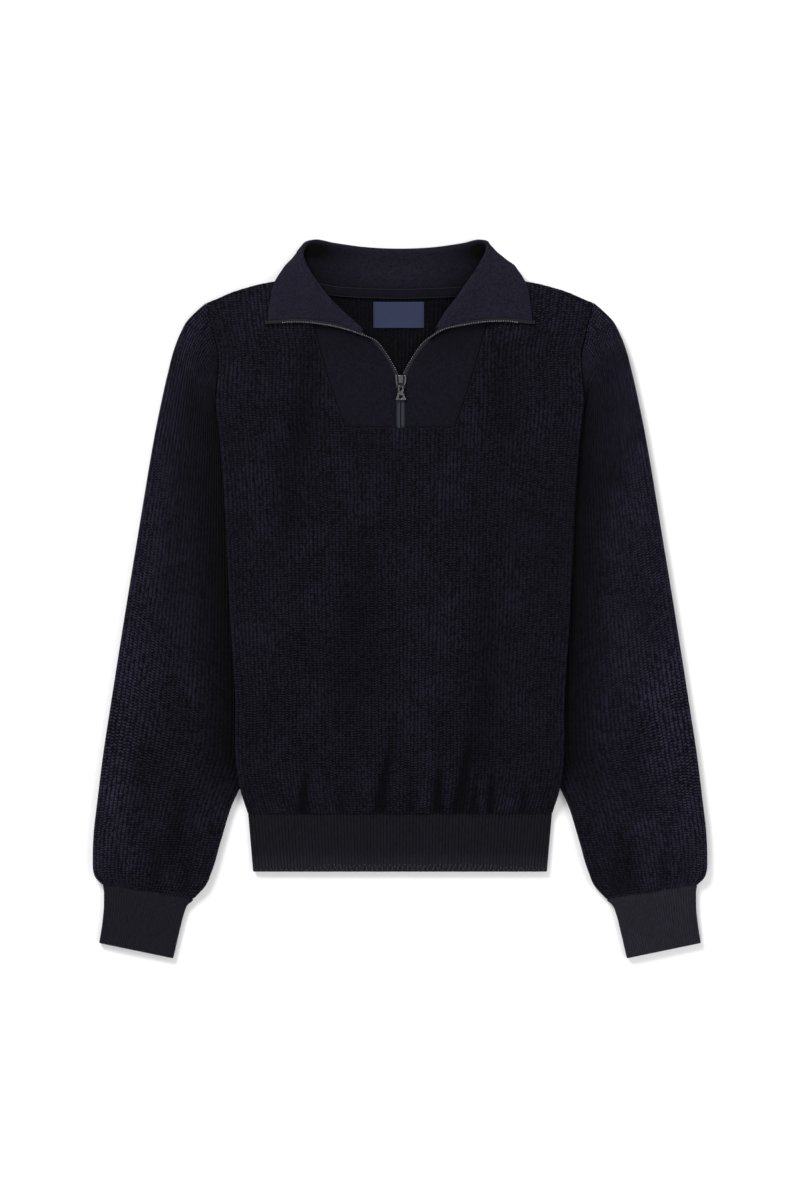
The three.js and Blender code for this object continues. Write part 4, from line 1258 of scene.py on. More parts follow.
        x, high = form.plan(across, under_base, 0.0)
        high = neck_cut(x, high)
        edge = edge_share(across, form.edge_power)[None, :]
        seam = form.seam_level(high) - form.seam / 2
        furrow = -0.8 * rib_profile(np.broadcast_to(count, x.shape), 1.0)
        under = np.stack([x, high, lerp(seam, form.lift(x, high) + furrow, edge)], axis=2)
        under_uv = np.stack([np.broadcast_to(count, x.shape), high / Course.RIB.value], axis=2)
        x, high = form.plan(across, inside_base, form.rib_wall)
        high = neck_cut(x, high)
        relief = rib_profile(np.broadcast_to(count, x.shape) + 0.5, 1.1) * (1 + 0.3 * uneven(x, high, 7.0, 3))
        level = form.lift(x, high) + form.rib_wall + relief * ease(400, 470, high)
        level[:, [0, -1]] = (form.seam_level(high) - form.seam / 2)[:, [0, -1]]
        inside = np.stack([x, high, level], axis=2)
        inside_uv = np.stack([np.broadcast_to(count, x.shape) + 0.5, high / Course.RIB.value], axis=2)
        shade = 0.95 * ease(440, 500, high)
        panel = Shell().sheet(inside, inside_uv, under, under_uv, shade).object("back_knit", finishes.rib)
        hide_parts("back_panel")
        form.area(form.back_neck["x"], form.back_neck["high"])
        return panel

    def build(self, finishes: Finishes) -> list[bpy.types.Object]:
        """Makes both panels."""
        return [self.front(finishes), self.back(finishes)]


@dataclass
class FlatTube:
    """A knitted tube laid flat through rings, such as a sleeve, a cuff or the hem band."""

    name: str
    node: str
    rings: Table
    form: TorsoForm
    ribs: int
    rib_deep: float
    wall: float
    rows: int
    course: Course
    flat: tuple[float, float]
    area: float | None = None
    side: Side = Side.LEFT
    cuts_per_rib: int = 4
    plain: int = 24
    plain_rows: int = 40
    edge_power: float = 10.0
    level_from: tuple[float, float] = (0.45, 0.55)
    folds: tuple[Fold, ...] = ()
    swell: float = 0.5
    # beside darkens the tube next to the torso as painted shadow; the lit fields lighten it as painted light.
    beside: float = 0.0
    lit_all: float = 0.0
    lit_outer: float = 0.0
    lit_reach: float = 0.5
    lit_end: float = 0.0
    dark_depth: float = 2.0
    shade_range: tuple[float, float] = (-1.6, 1.15)
    beside_reach: tuple[float, float] = (2.0, 48.0)
    beside_heights: tuple[float, float, float, float] = (60.0, 120.0, 440.0, 500.0)
    rests_on: tuple[str, ...] = ()

    def knots(self) -> np.ndarray:
        """Distance along the tube's middle to each ring."""
        table = {key: np.array(value, float) for key, value in self.rings.items()}
        steps = np.hypot(np.diff(table["ox"] + table["ix"]), np.diff(table["oh"] + table["ih"])) / 2
        return np.concatenate([[0.0], np.cumsum(steps)])

    def points(self, share: np.ndarray, above: bool, wall: float, rows: int) -> tuple[np.ndarray, np.ndarray]:
        """Points of the tube's upper or lower face.

        Args:
            share: places from the outer edge, 0, to the inner edge, 1.
            above: takes the upper face.
            wall: how far the face is drawn in from the tube's outside.
            rows: number of rings.

        Returns:
            The grid of points and the distance along the tube of each row.
        """
        knots = self.knots()
        along = np.linspace(0, knots[-1], rows)
        ring = {key: blended(knots, np.array(value, float), along, True)[:, None]
                for key, value in self.rings.items()}
        reach = np.hypot(ring["ix"] - ring["ox"], ring["ih"] - ring["oh"])
        place = lerp(wall / reach, 1 - wall / reach, share[None, :])
        x, high = lerp(ring["ox"], ring["ix"], place), lerp(ring["oh"], ring["ih"], place)
        at_seam = lerp(self.form.armhole_high, self.form.armhole_low, place)
        chord = lerp(self.rings["ox"][0], self.rings["ix"][0], place)
        x = x + ring["seam"] * (self.form.half(at_seam) + self.form.seam - chord)
        top = lerp(ring["crown"], ring["high"], ease(self.level_from[0], 1, share)[None, :])
        low = ring["low"] * ease(self.level_from[1], 1, share)[None, :]
        edge = edge_share(2 * share - 1, self.edge_power)[None, :]
        half = (top - low) / 2 - wall
        level = (top + low) / 2 + (half if above else -half) * edge
        if above:
            signed = -x if self.side is Side.LEFT else x
            crease = sum((fold.height(x, high) for fold in self.folds), np.zeros_like(x))
            swell = self.swell * uneven(signed, high, 34.0, 11)
            level = level + (np.maximum(crease, -np.maximum(half * 0.9, 0)) + swell) * edge * ease(0, 0.12, share) \
                * (1 - ease(0.8, 1, share))
        return np.stack([x, high, level], axis=2), along

    def shade(self, points: np.ndarray, share: np.ndarray) -> np.ndarray:
        """How dark each place lies: in creases, beside the torso, and lit at the outer and far edges.

        Args:
            points: the upper face, before it is turned to its side.
            share: places from the outer edge, 0, to the inner edge, 1.

        Returns:
            A shade for each point, below 0 where it is lit and towards 1 where it is dark.
        """
        x, high = points[..., 0], points[..., 1]
        depth = sum((fold.height(x, high) for fold in self.folds if fold.rise < 0), np.zeros_like(x))
        reach = x - self.form.half(np.clip(high, self.form.hem_tall, self.form.armhole_high))
        start, full, less, none = self.beside_heights
        beside = (1 - ease(*self.beside_reach, reach)) * ease(start, full, high) * (1 - ease(less, none, high))
        far = np.linspace(0, 1, len(points))[:, None]
        lit = self.lit_outer * (1 - ease(0, self.lit_reach, share)) + self.lit_end * ease(0.6, 1, far) + self.lit_all
        return np.clip(self.beside * beside - depth / self.dark_depth - lit, *self.shade_range)

    def build(self, finishes: Finishes) -> list[bpy.types.Object]:
        """Makes the tube.

        Args:
            finishes: the garment's finishes.

        Returns:
            The piece, in a list.
        """
        above = np.linspace(0, 1, self.ribs * self.cuts_per_rib + 1)
        below = np.linspace(1, 0, self.ribs * self.cuts_per_rib + 1)[1:-1]
        upper, along = self.points(above, True, 0.0, self.rows)
        lower, _ = self.points(below, False, 0.0, self.rows)
        edge_above = edge_share(2 * above - 1, self.edge_power)
        edge_below = edge_share(2 * below - 1, self.edge_power)
        rough = 1 + 0.15 * uneven(upper[..., 0], upper[..., 1], 7.0, 5)
        upper[..., 2] += rib_profile(above * self.ribs, self.rib_deep) * rough * edge_above
        lower[..., 2] -= rib_profile(below * self.ribs, self.rib_deep * 0.7) * edge_below
        outer = np.concatenate([upper, lower], axis=1)
        shade = np.concatenate([self.shade(upper, above), np.zeros(lower.shape[:2])], axis=1)
        around = np.concatenate([above * self.ribs, (2 - below) * self.ribs, [2 * self.ribs]])
        outer_uv = np.stack(np.meshgrid(around, along / self.course.value), axis=2)
        sides = np.linspace(0, 1, self.plain + 1)
        inner_upper, inner_along = self.points(sides, True, self.wall, self.plain_rows)
        inner_lower, _ = self.points(sides[::-1][1:-1], False, self.wall, self.plain_rows)
        inner = np.concatenate([inner_upper, inner_lower], axis=1)
        inside = np.linspace(0, 2 * self.ribs, inner.shape[1] + 1)
        inner_uv = np.stack(np.meshgrid(inside, inner_along / self.course.value), axis=2)
        if self.side is Side.LEFT:
            outer[..., 0] *= -1
            inner[..., 0] *= -1
        material = finishes.rib if self.course is Course.RIB else finishes.band
        piece = Shell().tube(outer, outer_uv, inner, inner_uv, shade).object(self.name, material)
        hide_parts(self.node)
        return [piece]


SLEEVE_RINGS: Table = {
    "ox": (194.4, 203, 213, 220, 226, 232.6, 240.6, 264, 289, 297.4, 303, 307, 307.8, 304.8, 298.6),
    "oh": (569.6, 562, 552, 539, 524, 499, 463, 328, 172, 117, 72, 36, 8, -6.4, -12.8),
    "ix": (184.4, 183.75, 181.2, 176, 169, 164, 160.5, 154, 151, 158.5, 169.6, 179.6, 188.6, 196, 206.4),
    "ih": (474, 466, 455, 439, 417, 385, 345, 225, 112, 88, 63, 30, 0, -16, -27),
    "low": (6.3, 4.2, 0, 0, 0, 0, 0, 0, 0, 0, 0, 0, 0, 0, 0),
    "high": (12.9, 11.1, 6.7, 6.6, 6.6, 6.6, 6.6, 6.6, 6.6, 6.8, 8.2, 9.0, 9.2, 8.4, 6.8),
    "crown": (6.7, 8.8, 7.8, 9.2, 9.6, 9.8, 9.8, 9.8, 9.8, 9.9, 10, 10, 9.8, 8.8, 6.8),
    "seam": (1, 0.7, 0.35, 0.1, 0, 0, 0, 0, 0, 0, 0, 0, 0, 0, 0),
}
CUFF_RINGS: Table = {
    "ox": (296.4, 297.6, 296.7, 296.7, 298, 301.4), "oh": (-10, -13.5, -21, -32, -49, -71.4),
    "ix": (208.6, 207.4, 212.6, 216.6, 220.6, 227.2), "ih": (-24.5, -28.2, -33.4, -43, -58.6, -86.8),
    "low": (0.8, 0, 0, 0, 0, 0), "high": (4.9, 6.0, 6.2, 6.2, 6.2, 6.2), "crown": (4.9, 6.0, 6.2, 6.2, 6.2, 6.2),
    "seam": (0,) * 6,
}
HEM_RINGS: Table = {
    "ox": (151, 152.3, 152, 149.75, 147.2), "oh": (61.5, 58, 55, 29, 0),
    "ix": (-151, -152.3, -152, -149.75, -147.2), "ih": (61.5, 58, 55, 29, 0),
    "low": (0.8, 0, 0, 0, 0), "high": (4.6, 6.0, 6.2, 6.2, 6.2), "crown": (4.6, 6.0, 6.2, 6.2, 6.2),
    "seam": (0,) * 5,
}
LEFT_SLEEVE_FOLDS = (
    Fold(205, 470, 20, 60, 9, -1.5, 0.3, 0.5), Fold(214, 380, 14, 110, 12, -1.2, 0.3, 0.5),
    Fold(236, 250, -10, 150, 15, -1.0, 0.3, 0.5), Fold(200, 200, 6, 110, 13, 0.8, 0.3, 0.5),
    Fold(262, 60, -14, 120, 13, -1.3, 0.3, 0.5), Fold(228, 10, -12, 90, 9, -1.6, 0.2, 0.6),
    Fold(246, -20, -4, 70, 7, -1.6, 0.15, 0.7), Fold(264, -16, 2, 60, 7, 1.0, 0.2, 0.7),
    Fold(280, -14, 6, 62, 7, -1.5, 0.2, 0.7), Fold(216, -24, -8, 60, 6, -1.2, 0.2, 0.7))
RIGHT_SLEEVE_FOLDS = (
    Fold(208, 480, 12, 56, 9, -1.4, 0.3, 0.5), Fold(206, 350, 20, 120, 12, -1.3, 0.3, 0.5),
    Fold(250, 230, -16, 120, 15, -1.1, 0.3, 0.5), Fold(194, 170, 4, 120, 12, 0.8, 0.3, 0.5),
    Fold(240, 70, -6, 110, 12, -1.2, 0.3, 0.5), Fold(232, -22, -10, 84, 8, -1.5, 0.15, 0.7),
    Fold(254, -18, -2, 80, 7, 1.3, 0.2, 0.7), Fold(264, -16, 2, 66, 6, -1.6, 0.2, 0.7),
    Fold(284, -14, 6, 58, 7, -1.4, 0.2, 0.7), Fold(218, -26, -6, 60, 6, -1.2, 0.2, 0.7))


def sleeve(side: Side, form: TorsoForm) -> FlatTube:
    """Sleeve of one side.

    Args:
        side: the viewer's side.
        form: the torso's form, which the armhole follows.

    Returns:
        The tube, ready to build.
    """
    word = side.name.lower()
    folds, lit_reach, lit_all = {
        Side.LEFT: (LEFT_SLEEVE_FOLDS, 0.5, 0.08), Side.RIGHT: (RIGHT_SLEEVE_FOLDS, 0.85, 0.2)}[side]
    return FlatTube(
        name=f"sleeve_{word}_knit", node=f"sleeve_{word}", rings=SLEEVE_RINGS, form=form, ribs=32, rib_deep=1.0,
        wall=form.rib_wall, rows=260, course=Course.RIB, flat=(0.28, 0.59), area=0.122, side=side, folds=folds,
        beside=1.3, lit_outer=1.3, lit_reach=lit_reach, lit_all=lit_all)


def cuff(side: Side, form: TorsoForm) -> FlatTube:
    """Cuff of one side."""
    word = side.name.lower()
    return FlatTube(
        name=f"cuff_{word}_knit", node=f"cuff_{word}", rings=CUFF_RINGS, form=form, ribs=32, rib_deep=0.35,
        wall=BAND_WALL, rows=30, course=Course.BAND, flat=(0.16, 0.062), side=side, swell=0.1, plain_rows=8,
        lit_end=0.15, lit_all=1.5 if side is Side.RIGHT else 0.37)


def hem(form: TorsoForm) -> FlatTube:
    """Hem band, a tube across the garment."""
    return FlatTube(
        name="hem_knit", node="hem_band", rings=HEM_RINGS, form=form, ribs=92, rib_deep=1.0, wall=BAND_WALL,
        rows=30, course=Course.BAND, flat=(0.61, 0.058), side=Side.LEFT, swell=0.12, plain=60, plain_rows=6,
        lit_end=1.2)


@dataclass
class Neck:
    """Placket halves, collar, neck band and label."""

    form: TorsoForm
    wall: float = 2.3
    zip_x: float = 0.7
    level: float = 5.5
    level_at: float = 0.85
    strips: int = 5
    roll_radius: float = 1.6
    rows: Table = field(default_factory=lambda: {
        "x": (4.9, 4.9, 4.9, 7.6, 11.9, 19.4, 27, 36.7, 50.9, 66.9, 82.3, 92.6),
        "high": (444.9, 466, 488, 499.5, 508.4, 520, 529, 535.4, 546, 559, 571, 579.4),
        "z": (5.5, 5.5, 5.5, 5.8, 6.3, 7.3, 8.4, 9.2, 9.1, 8.4, 7.4, 6.4),
        "outer": (444.9, 464, 484, 496, 507, 519, 529, 538, 548, 559, 571, 580)})
    stations: Table = field(default_factory=lambda: {
        "sx": (35.6, 50.3, 66.3, 81.8, 91.6, 96.8, 97, 91.6, 84, 68, 34, 0),
        "sh": (536.4, 547.2, 560.2, 572.2, 580.6, 586.2, 591.4, 590.6, 586.6, 583.2, 580.6, 579.6),
        "sz": (9.3, 9.2, 8.5, 7.6, 7.2, 6.8, 5.4, 3.9, 3.9, 3.85, 3.85, 3.85),
        "lx": (37.2, 53.5, 70, 84.5, 92.5, 97, 98, 94.5, 86, 67, 34, 0),
        "lh": (541.6, 556, 572, 591, 603.5, 613.5, 622, 629, 632, 629, 624.5, 623),
        "rx": (36.6, 45.5, 56, 68.5, 79, 85, 88.5, 87, 80, 65, 34, 0),
        "rh": (543.8, 558.5, 572, 590, 605.5, 616, 624.5, 630, 632, 629, 624.5, 623),
        "rz": (12, 12.8, 13.2, 13.2, 12.8, 11.8, 8.8, 5.2, 3.7, 2.85, 2.8, 2.8),
        "fx": (132.4, 131.4, 129.8, 128.2, 125, 119.2, 112.6, 101.5, 90, 70, 35, 0),
        "fh": (551.4, 560.5, 572, 582, 590.8, 600, 607.2, 605, 594, 589, 586.4, 585.4),
        "fz": (9.6, 9.4, 9.3, 9.3, 9.3, 7.2, 3.6, 1.5, 1.25, 1.25, 1.25, 1.25),
        "turn": (0, 0, 0, 5, 15, 40, 80, 125, 168, 180, 180, 180),
        "bow": (6, 4, 2, 1.5, 0.5, 0, 0, 0, 0, 0, 0, 0)})
    stand_shades: tuple[tuple[float, ...], ...] = (
        (*(0.95,) * 9, 0.9, 0.75, 0.7),
        (*(0.95,) * 9, 0.75, 0.36, 0.25),
        (*(0.8,) * 9, 0.5, 0.25, 0.2),
        (*(0.2,) * 8, 0.3, 0.2, 0.1, 0.05))

    def placket_sheet(self, side: Side) -> np.ndarray:
        """Middle sheet of a placket half, as rows of points from the zip outwards."""
        table = {key: np.array(value, float) for key, value in self.rows.items()}
        share = np.linspace(0, 1, self.strips + 1)[None, :]
        sign = side.value
        near = self.zip_x + sign * table["x"][:, None]
        far = sign * (self.form.placket_half(table["outer"])[:, None] - self.form.seam)
        high = lerp(table["high"][:, None], table["outer"][:, None], share)
        z = lerp(table["z"][:, None], self.level, ease(0, self.level_at, share))
        return np.stack([lerp(near, far, share), high, z], axis=2)

    def collar_sheet(self) -> np.ndarray:
        """Middle sheet of the collar, from the left front edge round the back to the right."""
        table = {key: np.array(value, float) for key, value in self.stations.items()}

        def both(left: np.ndarray, right: np.ndarray) -> np.ndarray:
            """One value for each station, left side first."""
            return np.concatenate([left, right[:-1][::-1]])

        ones = np.ones(len(table["turn"]))
        sign = both(-ones, ones)[:, None]
        col = {key: both(value, value)[:, None] for key, value in table.items()}
        roll_x, roll_high = both(table["lx"], table["rx"])[:, None], both(table["lh"], table["rh"])[:, None]
        rolls = np.concatenate([sign * roll_x, roll_high, col["rz"]], axis=1)
        along = np.concatenate([rolls[1:2] - rolls[:1], rolls[2:] - rolls[:-2], rolls[-1:] - rolls[-2:-1]])
        along[:, 2] = 0
        along /= np.linalg.norm(along, axis=1, keepdims=True)
        aside = np.stack([-along[:, 1], along[:, 0], np.zeros(len(along))], axis=1)
        turn = np.radians(col["turn"])
        to_fall = aside * np.sin(turn) + np.array([0, 0, 1.0]) * np.cos(turn)
        tip = np.cross(along, to_fall)
        tip /= np.linalg.norm(tip, axis=1, keepdims=True)
        centre = rolls - tip * self.roll_radius
        seam = np.concatenate([sign * col["sx"], col["sh"], col["sz"]], axis=1)
        free = np.concatenate([sign * col["fx"], col["fh"], col["fz"]], axis=1)
        roll = [centre + tip * self.roll_radius * math.cos(angle) + to_fall * self.roll_radius * math.sin(angle)
                for angle in np.radians((-90, -45, 0, 45, 90))]
        fall = []
        for share in (0.3, 0.65):
            point = lerp(roll[-1], free, share)
            point[:, 1] += col["bow"][:, 0] * 4 * share * (1 - share)
            fall.append(point)
        return np.stack([seam, (seam + roll[0]) / 2, *roll, *fall, free], axis=1)

    def placket(self, side: Side, finishes: Finishes) -> bpy.types.Object:
        """Makes one placket half.

        Args:
            side: the viewer's side.
            finishes: the garment's finishes.

        Returns:
            The piece.
        """
        word = side.name.lower()
        grid = refine(refine(self.placket_sheet(side), 0, 2.0), 1, 2.0)
        grid[..., 2] += 0.35 * uneven(grid[..., 0], grid[..., 1], 26.0, 13)
        shade = 0.68 + 0.15 * ease(505, 545, grid[..., 1])
        piece = even_wall(grid, self.wall, SMOOTH_STITCH, shade=shade).object(
            f"placket_{word}_knit", finishes.smooth)
        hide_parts(f"placket_{word}")
        return piece

    def collar(self, finishes: Finishes) -> bpy.types.Object:
        """Makes the collar: a stand that rolls over into two wings, and lies double at the back.

        Args:
            finishes: the garment's finishes.

        Returns:
            The piece.
        """
        middle = self.collar_sheet()
        shade = np.zeros(middle.shape[:2])
        for strip, dark in enumerate(self.stand_shades):
            shade[:, strip] = [*dark, *dark[:-1][::-1]]
        grid = refine(refine(np.concatenate([middle, shade[..., None]], axis=2), 0, 2.4), 1, 1.8)
        grid[..., 2] = np.maximum(grid[..., 2], self.wall / 2 + 0.03)
        piece = even_wall(grid[..., :3], self.wall, SMOOTH_STITCH, shade=grid[..., 3]).object(
            "collar_knit", finishes.smooth)
        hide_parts("collar")
        return piece

    def neck_band(self, finishes: Finishes) -> bpy.types.Object:
        """Makes the band over the back neck seam."""
        x = np.linspace(*NECK_BAND_SPAN, 13)
        seam = read(self.form.back_neck, "x", "high", np.abs(x))
        rows = [np.stack([x, seam + above, np.full_like(x, level)], axis=1)
                for above, level in ((-3.6, 4.4), (0.0, 5.55), (4.6, 6.15))]
        grid = refine(refine(np.stack(rows, axis=1), 0, 2.0), 1, 0.8)
        piece = even_wall(grid, 1.1, (1.8, 2.0), soft=2).object("neck_band", finishes.neck_band)
        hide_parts("neck_tape")
        return piece

    def label(self, finishes: Finishes) -> bpy.types.Object:
        """Makes the bare woven label, a little waved, with a raised selvedge."""
        low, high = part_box("label")
        x = np.linspace(low.x, high.x, 64) / MILLIMETRE
        y = np.linspace(low.y - HEM_EDGE_Y, high.y - HEM_EDGE_Y, 34) / MILLIMETRE
        across, along = np.meshgrid(x, y)
        rim = np.minimum(np.minimum(across - x[0], x[-1] - across), np.minimum(along - y[0], y[-1] - along))
        level = 3.72 + 0.12 * np.sin(across / 7.5) + 0.10 * np.sin(along / 5.0 + 1) + 0.12 * (1 - ease(0.8, 1.6, rim))
        piece = even_wall(np.stack([across, along, level], axis=2), 0.5, (0.5, 0.5), soft=1).object(
            "label_woven", finishes.label)
        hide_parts("label")
        return piece

    def build(self, finishes: Finishes) -> list[bpy.types.Object]:
        """Makes every piece of the neck."""
        return [self.placket(Side.LEFT, finishes), self.placket(Side.RIGHT, finishes), self.collar(finishes),
                self.neck_band(finishes), self.label(finishes)]


@dataclass
class Zip:
    """Zip tapes and teeth, and the metal of the kept end stops and slider."""

    neck: Neck
    closed: float = 4.3
    open: float = 3.2
    turning: float = 1.7
    tape_thick: float = 0.8
    tooth_pitch: float = 2.3
    tooth_rise: float = 0.35
    teeth_high: float = 545.5
    teeth_aside: float = 118.0
    slit_rows: int = 7
    fall_start: int = 6
    widening: tuple[float, float] = (488.0, 508.0)
    shutting: tuple[float, float] = (484.0, 500.0)
    # Heights above which the closed tape's painted light is cut back, as painted shadow under the pull.
    pull_shadow: tuple[float, float] = (468.0, 474.0)
    open_shade: float = 0.75
    shut_shade: float = 0.9
    shut_lit: float = 1.5

    def shut(self, high: np.ndarray) -> np.ndarray:
        """How far the zip is closed at each height: 1 below the slider and 0 above it."""
        return 1 - ease(*self.shutting, high)

    def edge(self, side: Side) -> tuple[np.ndarray, np.ndarray, np.ndarray]:
        """The edge that a tape follows: up the placket, over the roll and out to the collar tip.

        Args:
            side: the viewer's side.

        Returns:
            Points, directions away from the cloth, and the tape's width at each point.
        """
        slit = self.neck.placket_sheet(side)[:self.slit_rows]
        low, low_out = slit[:, 0], slit[:, 0] - slit[:, 1]
        collar = self.neck.collar_sheet()
        front, following = (collar[0], collar[1]) if side is Side.LEFT else (collar[-1], collar[-2])
        up, up_out = front[self.fall_start:], (front - following)[self.fall_start:]
        between = (low[-1] + up[0])[None, :] / 2
        points = np.concatenate([low, between, up])
        out = np.concatenate([low_out, [[0, 0, 1.0]], up_out])
        along = np.concatenate([points[1:2] - points[:1], points[2:] - points[:-2], points[-1:] - points[-2:-1]])
        along /= np.linalg.norm(along, axis=1, keepdims=True)
        out = out - along * np.einsum("ij,ij->i", out, along)[:, None]
        out /= np.linalg.norm(out, axis=1, keepdims=True)
        width = lerp(self.closed, self.open, ease(*self.widening, points[:, 1]))
        width[len(low)] = self.turning
        return points, out, width

    def strip(self, side: Side) -> np.ndarray:
        """Middle sheet of a tape, from the cloth's edge outwards."""
        points, out, width = self.edge(side)
        near = points + out * self.neck.form.seam
        far = near + out * width[:, None]
        grid = np.stack([near, (near + far) / 2, far], axis=1)
        return refine(refine(grid, 0, 1.5), 1, 0.8)

    def tape(self, side: Side, finishes: Finishes) -> bpy.types.Object:
        """Makes one tape."""
        word = side.name.lower()
        strip = self.strip(side)
        across = np.linspace(0, 1, strip.shape[1])[None, :]
        high = strip[..., 1]
        # Painted light and shade on the tape: the open tape is darkened, and the closed tape is lit across its middle
        # and dark at its edges, less lit under the pull.
        from_cloth, to_teeth = ease(0.1, 0.55, across), ease(0.75, 1.0, across)
        lit = from_cloth * (1 - 0.75 * to_teeth) * (1 - 0.6 * ease(*self.pull_shadow, high))
        shade = lerp(self.open_shade, self.shut_shade - self.shut_lit * lit, self.shut(high))
        piece = even_wall(strip, self.tape_thick, (0.6, 0.6), soft=1, shade=shade).object(
            f"zip_tape_{word}_woven", finishes.tape)
        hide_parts(f"zip_tape_{word}")
        return piece

    def teeth(self, tree: bpy.types.NodeTree, side: Side, finishes: Finishes) -> bpy.types.Object:
        """Makes the teeth along one tape's edge.

        Args:
            tree: the shared Geometry Nodes tree.
            side: the viewer's side.
            finishes: the garment's finishes.

        Returns:
            The piece.
        """
        grid = self.strip(side)
        normals = grid_normals(grid) * -side.value
        shut = self.shut(grid[:, -1, 1])[:, None]
        line = lerp(grid[:, -1], grid[:, 0], 0.1 + 0.16 * shut) + normals[:, -1] * self.tooth_rise
        start = 0 if side is Side.LEFT else 1
        inside = (line[:, 1] < self.teeth_high) | (np.abs(line[:, 0]) < self.teeth_aside)
        path = line[start:][inside[start:]]
        return Run(f"zip_teeth_{side.name.lower()}", self.tooth_pitch, 1.15, 1.6, 1.4).build(
            tree, [(path, normals[start:, -1][inside[start:]])], finishes.teeth)

    def build(self, tree: bpy.types.NodeTree, finishes: Finishes) -> list[bpy.types.Object]:
        """Makes the tapes and teeth, and gives the kept end stops and slider their metal.

        Args:
            tree: the shared Geometry Nodes tree.
            finishes: the garment's finishes.

        Returns:
            The pieces.
        """
        pieces = []
        for side in Side:
            pieces += [self.tape(side, finishes), self.teeth(tree, side, finishes)]
        for node in ("zip_stop_left", "zip_stop_right", "zip_slider"):
            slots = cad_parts[node].data.materials
            slots.clear()
            slots.append(finishes.dark)
        return pieces


def disc(x: float, y: float, radius: float, count: int = 24) -> list[tuple[float, float]]:
    """Corners of a round outline."""
    return [(x + radius * math.cos(step * math.tau / count), y + radius * math.sin(step * math.tau / count))
            for step in range(count)]


def mirrored(half: Outline) -> list[tuple[float, float]]:
    """Closes an outline given by its right half, from one end to the other."""
    return [*half, *((-x, y) for x, y in reversed(half))]


def plate(name: str, outlines: Sequence[Outline], thick: float, rounding: float) -> bpy.types.Mesh:
    """Cuts a flat plate with rounded edges, and with holes where one outline lies within another.

    Args:
        name: the mesh's name.
        outlines: the plate's outer edge and its holes.
        thick: thickness of the plate, about z = 0.
        rounding: radius of its edges.

    Returns:
        The closed mesh, in millimetres.
    """
    curve = bpy.data.curves.new(name, "CURVE")
    curve.dimensions = "2D"
    curve.fill_mode = "BOTH"
    curve.extrude = thick / 2 - rounding
    curve.bevel_depth = rounding
    curve.bevel_resolution = 2
    curve.offset = -rounding
    for outline in outlines:
        spline = curve.splines.new("POLY")
        spline.points.add(len(outline) - 1)
        for point, (x, y) in zip(spline.points, outline):
            point.co = (x, y, 0.0, 1.0)
        spline.use_cyclic_u = True
    solid = applied(linked(name, curve))
    bpy.data.curves.remove(curve)
    mesh = solid.data
    bpy.data.objects.remove(solid)
    block = bmesh.new()
    block.from_mesh(mesh)
    bmesh.ops.remove_doubles(block, verts=block.verts, dist=0.01)
    bmesh.ops.recalc_face_normals(block, faces=block.faces)
    block.to_mesh(mesh)
    block.free()
    return mesh


def mesh_points(mesh: bpy.types.Mesh) -> np.ndarray:
    """Places of a mesh's points, one row each."""
    points = np.empty(len(mesh.vertices) * 3)
    mesh.vertices.foreach_get("co", points)
    return points.reshape(-1, 3)


@dataclass
class Hardware:
    """Raised bridge and flanges on the slider, and the flared pull that hangs from its eye."""

    hinge: tuple[float, float, float] = (0.7, 485.6, 9.75)
    droop: float = 7.0
    pull_thick: float = 1.2
    face: float = 8.15
    trim_thick: float = 0.9
    rounding: float = 0.25
    crease: float = 35.0

    def pull(self, finishes: Finishes) -> bpy.types.Object:
        """Makes the pull: a link frame round the slider's eye and a flared tab with a round hole."""
        edge = mirrored([(2.3, -0.65), (2.7, -0.2), (2.75, 3.6), (2.4, 4.9), (2.0, 5.6), (2.2, 6.2), (3.0, 7.0),
                         (5.1, 12.9), (4.9, 13.5), (3.3, 13.6), (2.0, 13.2)])
        window = mirrored([(1.1, 0.65), (1.5, 1.1), (1.5, 3.6), (1.0, 4.6)])
        mesh = plate("pull_tab", [edge, window, disc(0.0, 10.3, 2.05)], self.pull_thick, self.rounding)
        lean = math.radians(self.droop)
        aside, along, above = mesh_points(mesh).T
        x, high, level = self.hinge
        self.place(mesh, x + aside, high - along * math.cos(lean) - above * math.sin(lean),
                   level - along * math.sin(lean) + above * math.cos(lean))
        piece = finished_object("pull_tab", mesh, finishes.metal, self.crease)
        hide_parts("zip_pull")
        return piece

    def trim(self, finishes: Finishes) -> bpy.types.Object:
        """Makes the bright parts that stand on the slider's dark upper plate, a painted highlight on its raised
        bridge and flanges.
        """
        bridge = mirrored([(2.0, 497.0), (2.3, 495.6), (1.9, 492.0), (1.7, 489.2)])
        flange = [(3.6, 496.6), (4.7, 496.9), (5.5, 494.6), (5.1, 491.4), (4.5, 488.4), (3.6, 486.2),
                  (3.2, 487.2), (3.9, 490.6), (4.2, 494.0)]
        other = [(-x, high) for x, high in reversed(flange)]
        mesh = plate("slider_trim", [bridge, flange, other], self.trim_thick, self.rounding)
        aside, high, above = mesh_points(mesh).T
        self.place(mesh, self.hinge[0] + aside, high, self.face + above)
        return finished_object("slider_trim", mesh, finishes.metal, self.crease)

    def place(self, mesh: bpy.types.Mesh, x: np.ndarray, high: np.ndarray, level: np.ndarray) -> None:
        """Moves a mesh's points to their places in the shared frame.

        Args:
            mesh: the mesh to move.
            x: place across of each point.
            high: height of each point.
            level: level of each point.
        """
        mesh.vertices.foreach_set("co", in_frame(np.stack([x, high, level], axis=1)).reshape(-1))
        if sum(face.normal.z * face.area * (face.center.z - self.face * MILLIMETRE) for face in mesh.polygons) < 0:
            mesh.flip_normals()
        mesh.update()


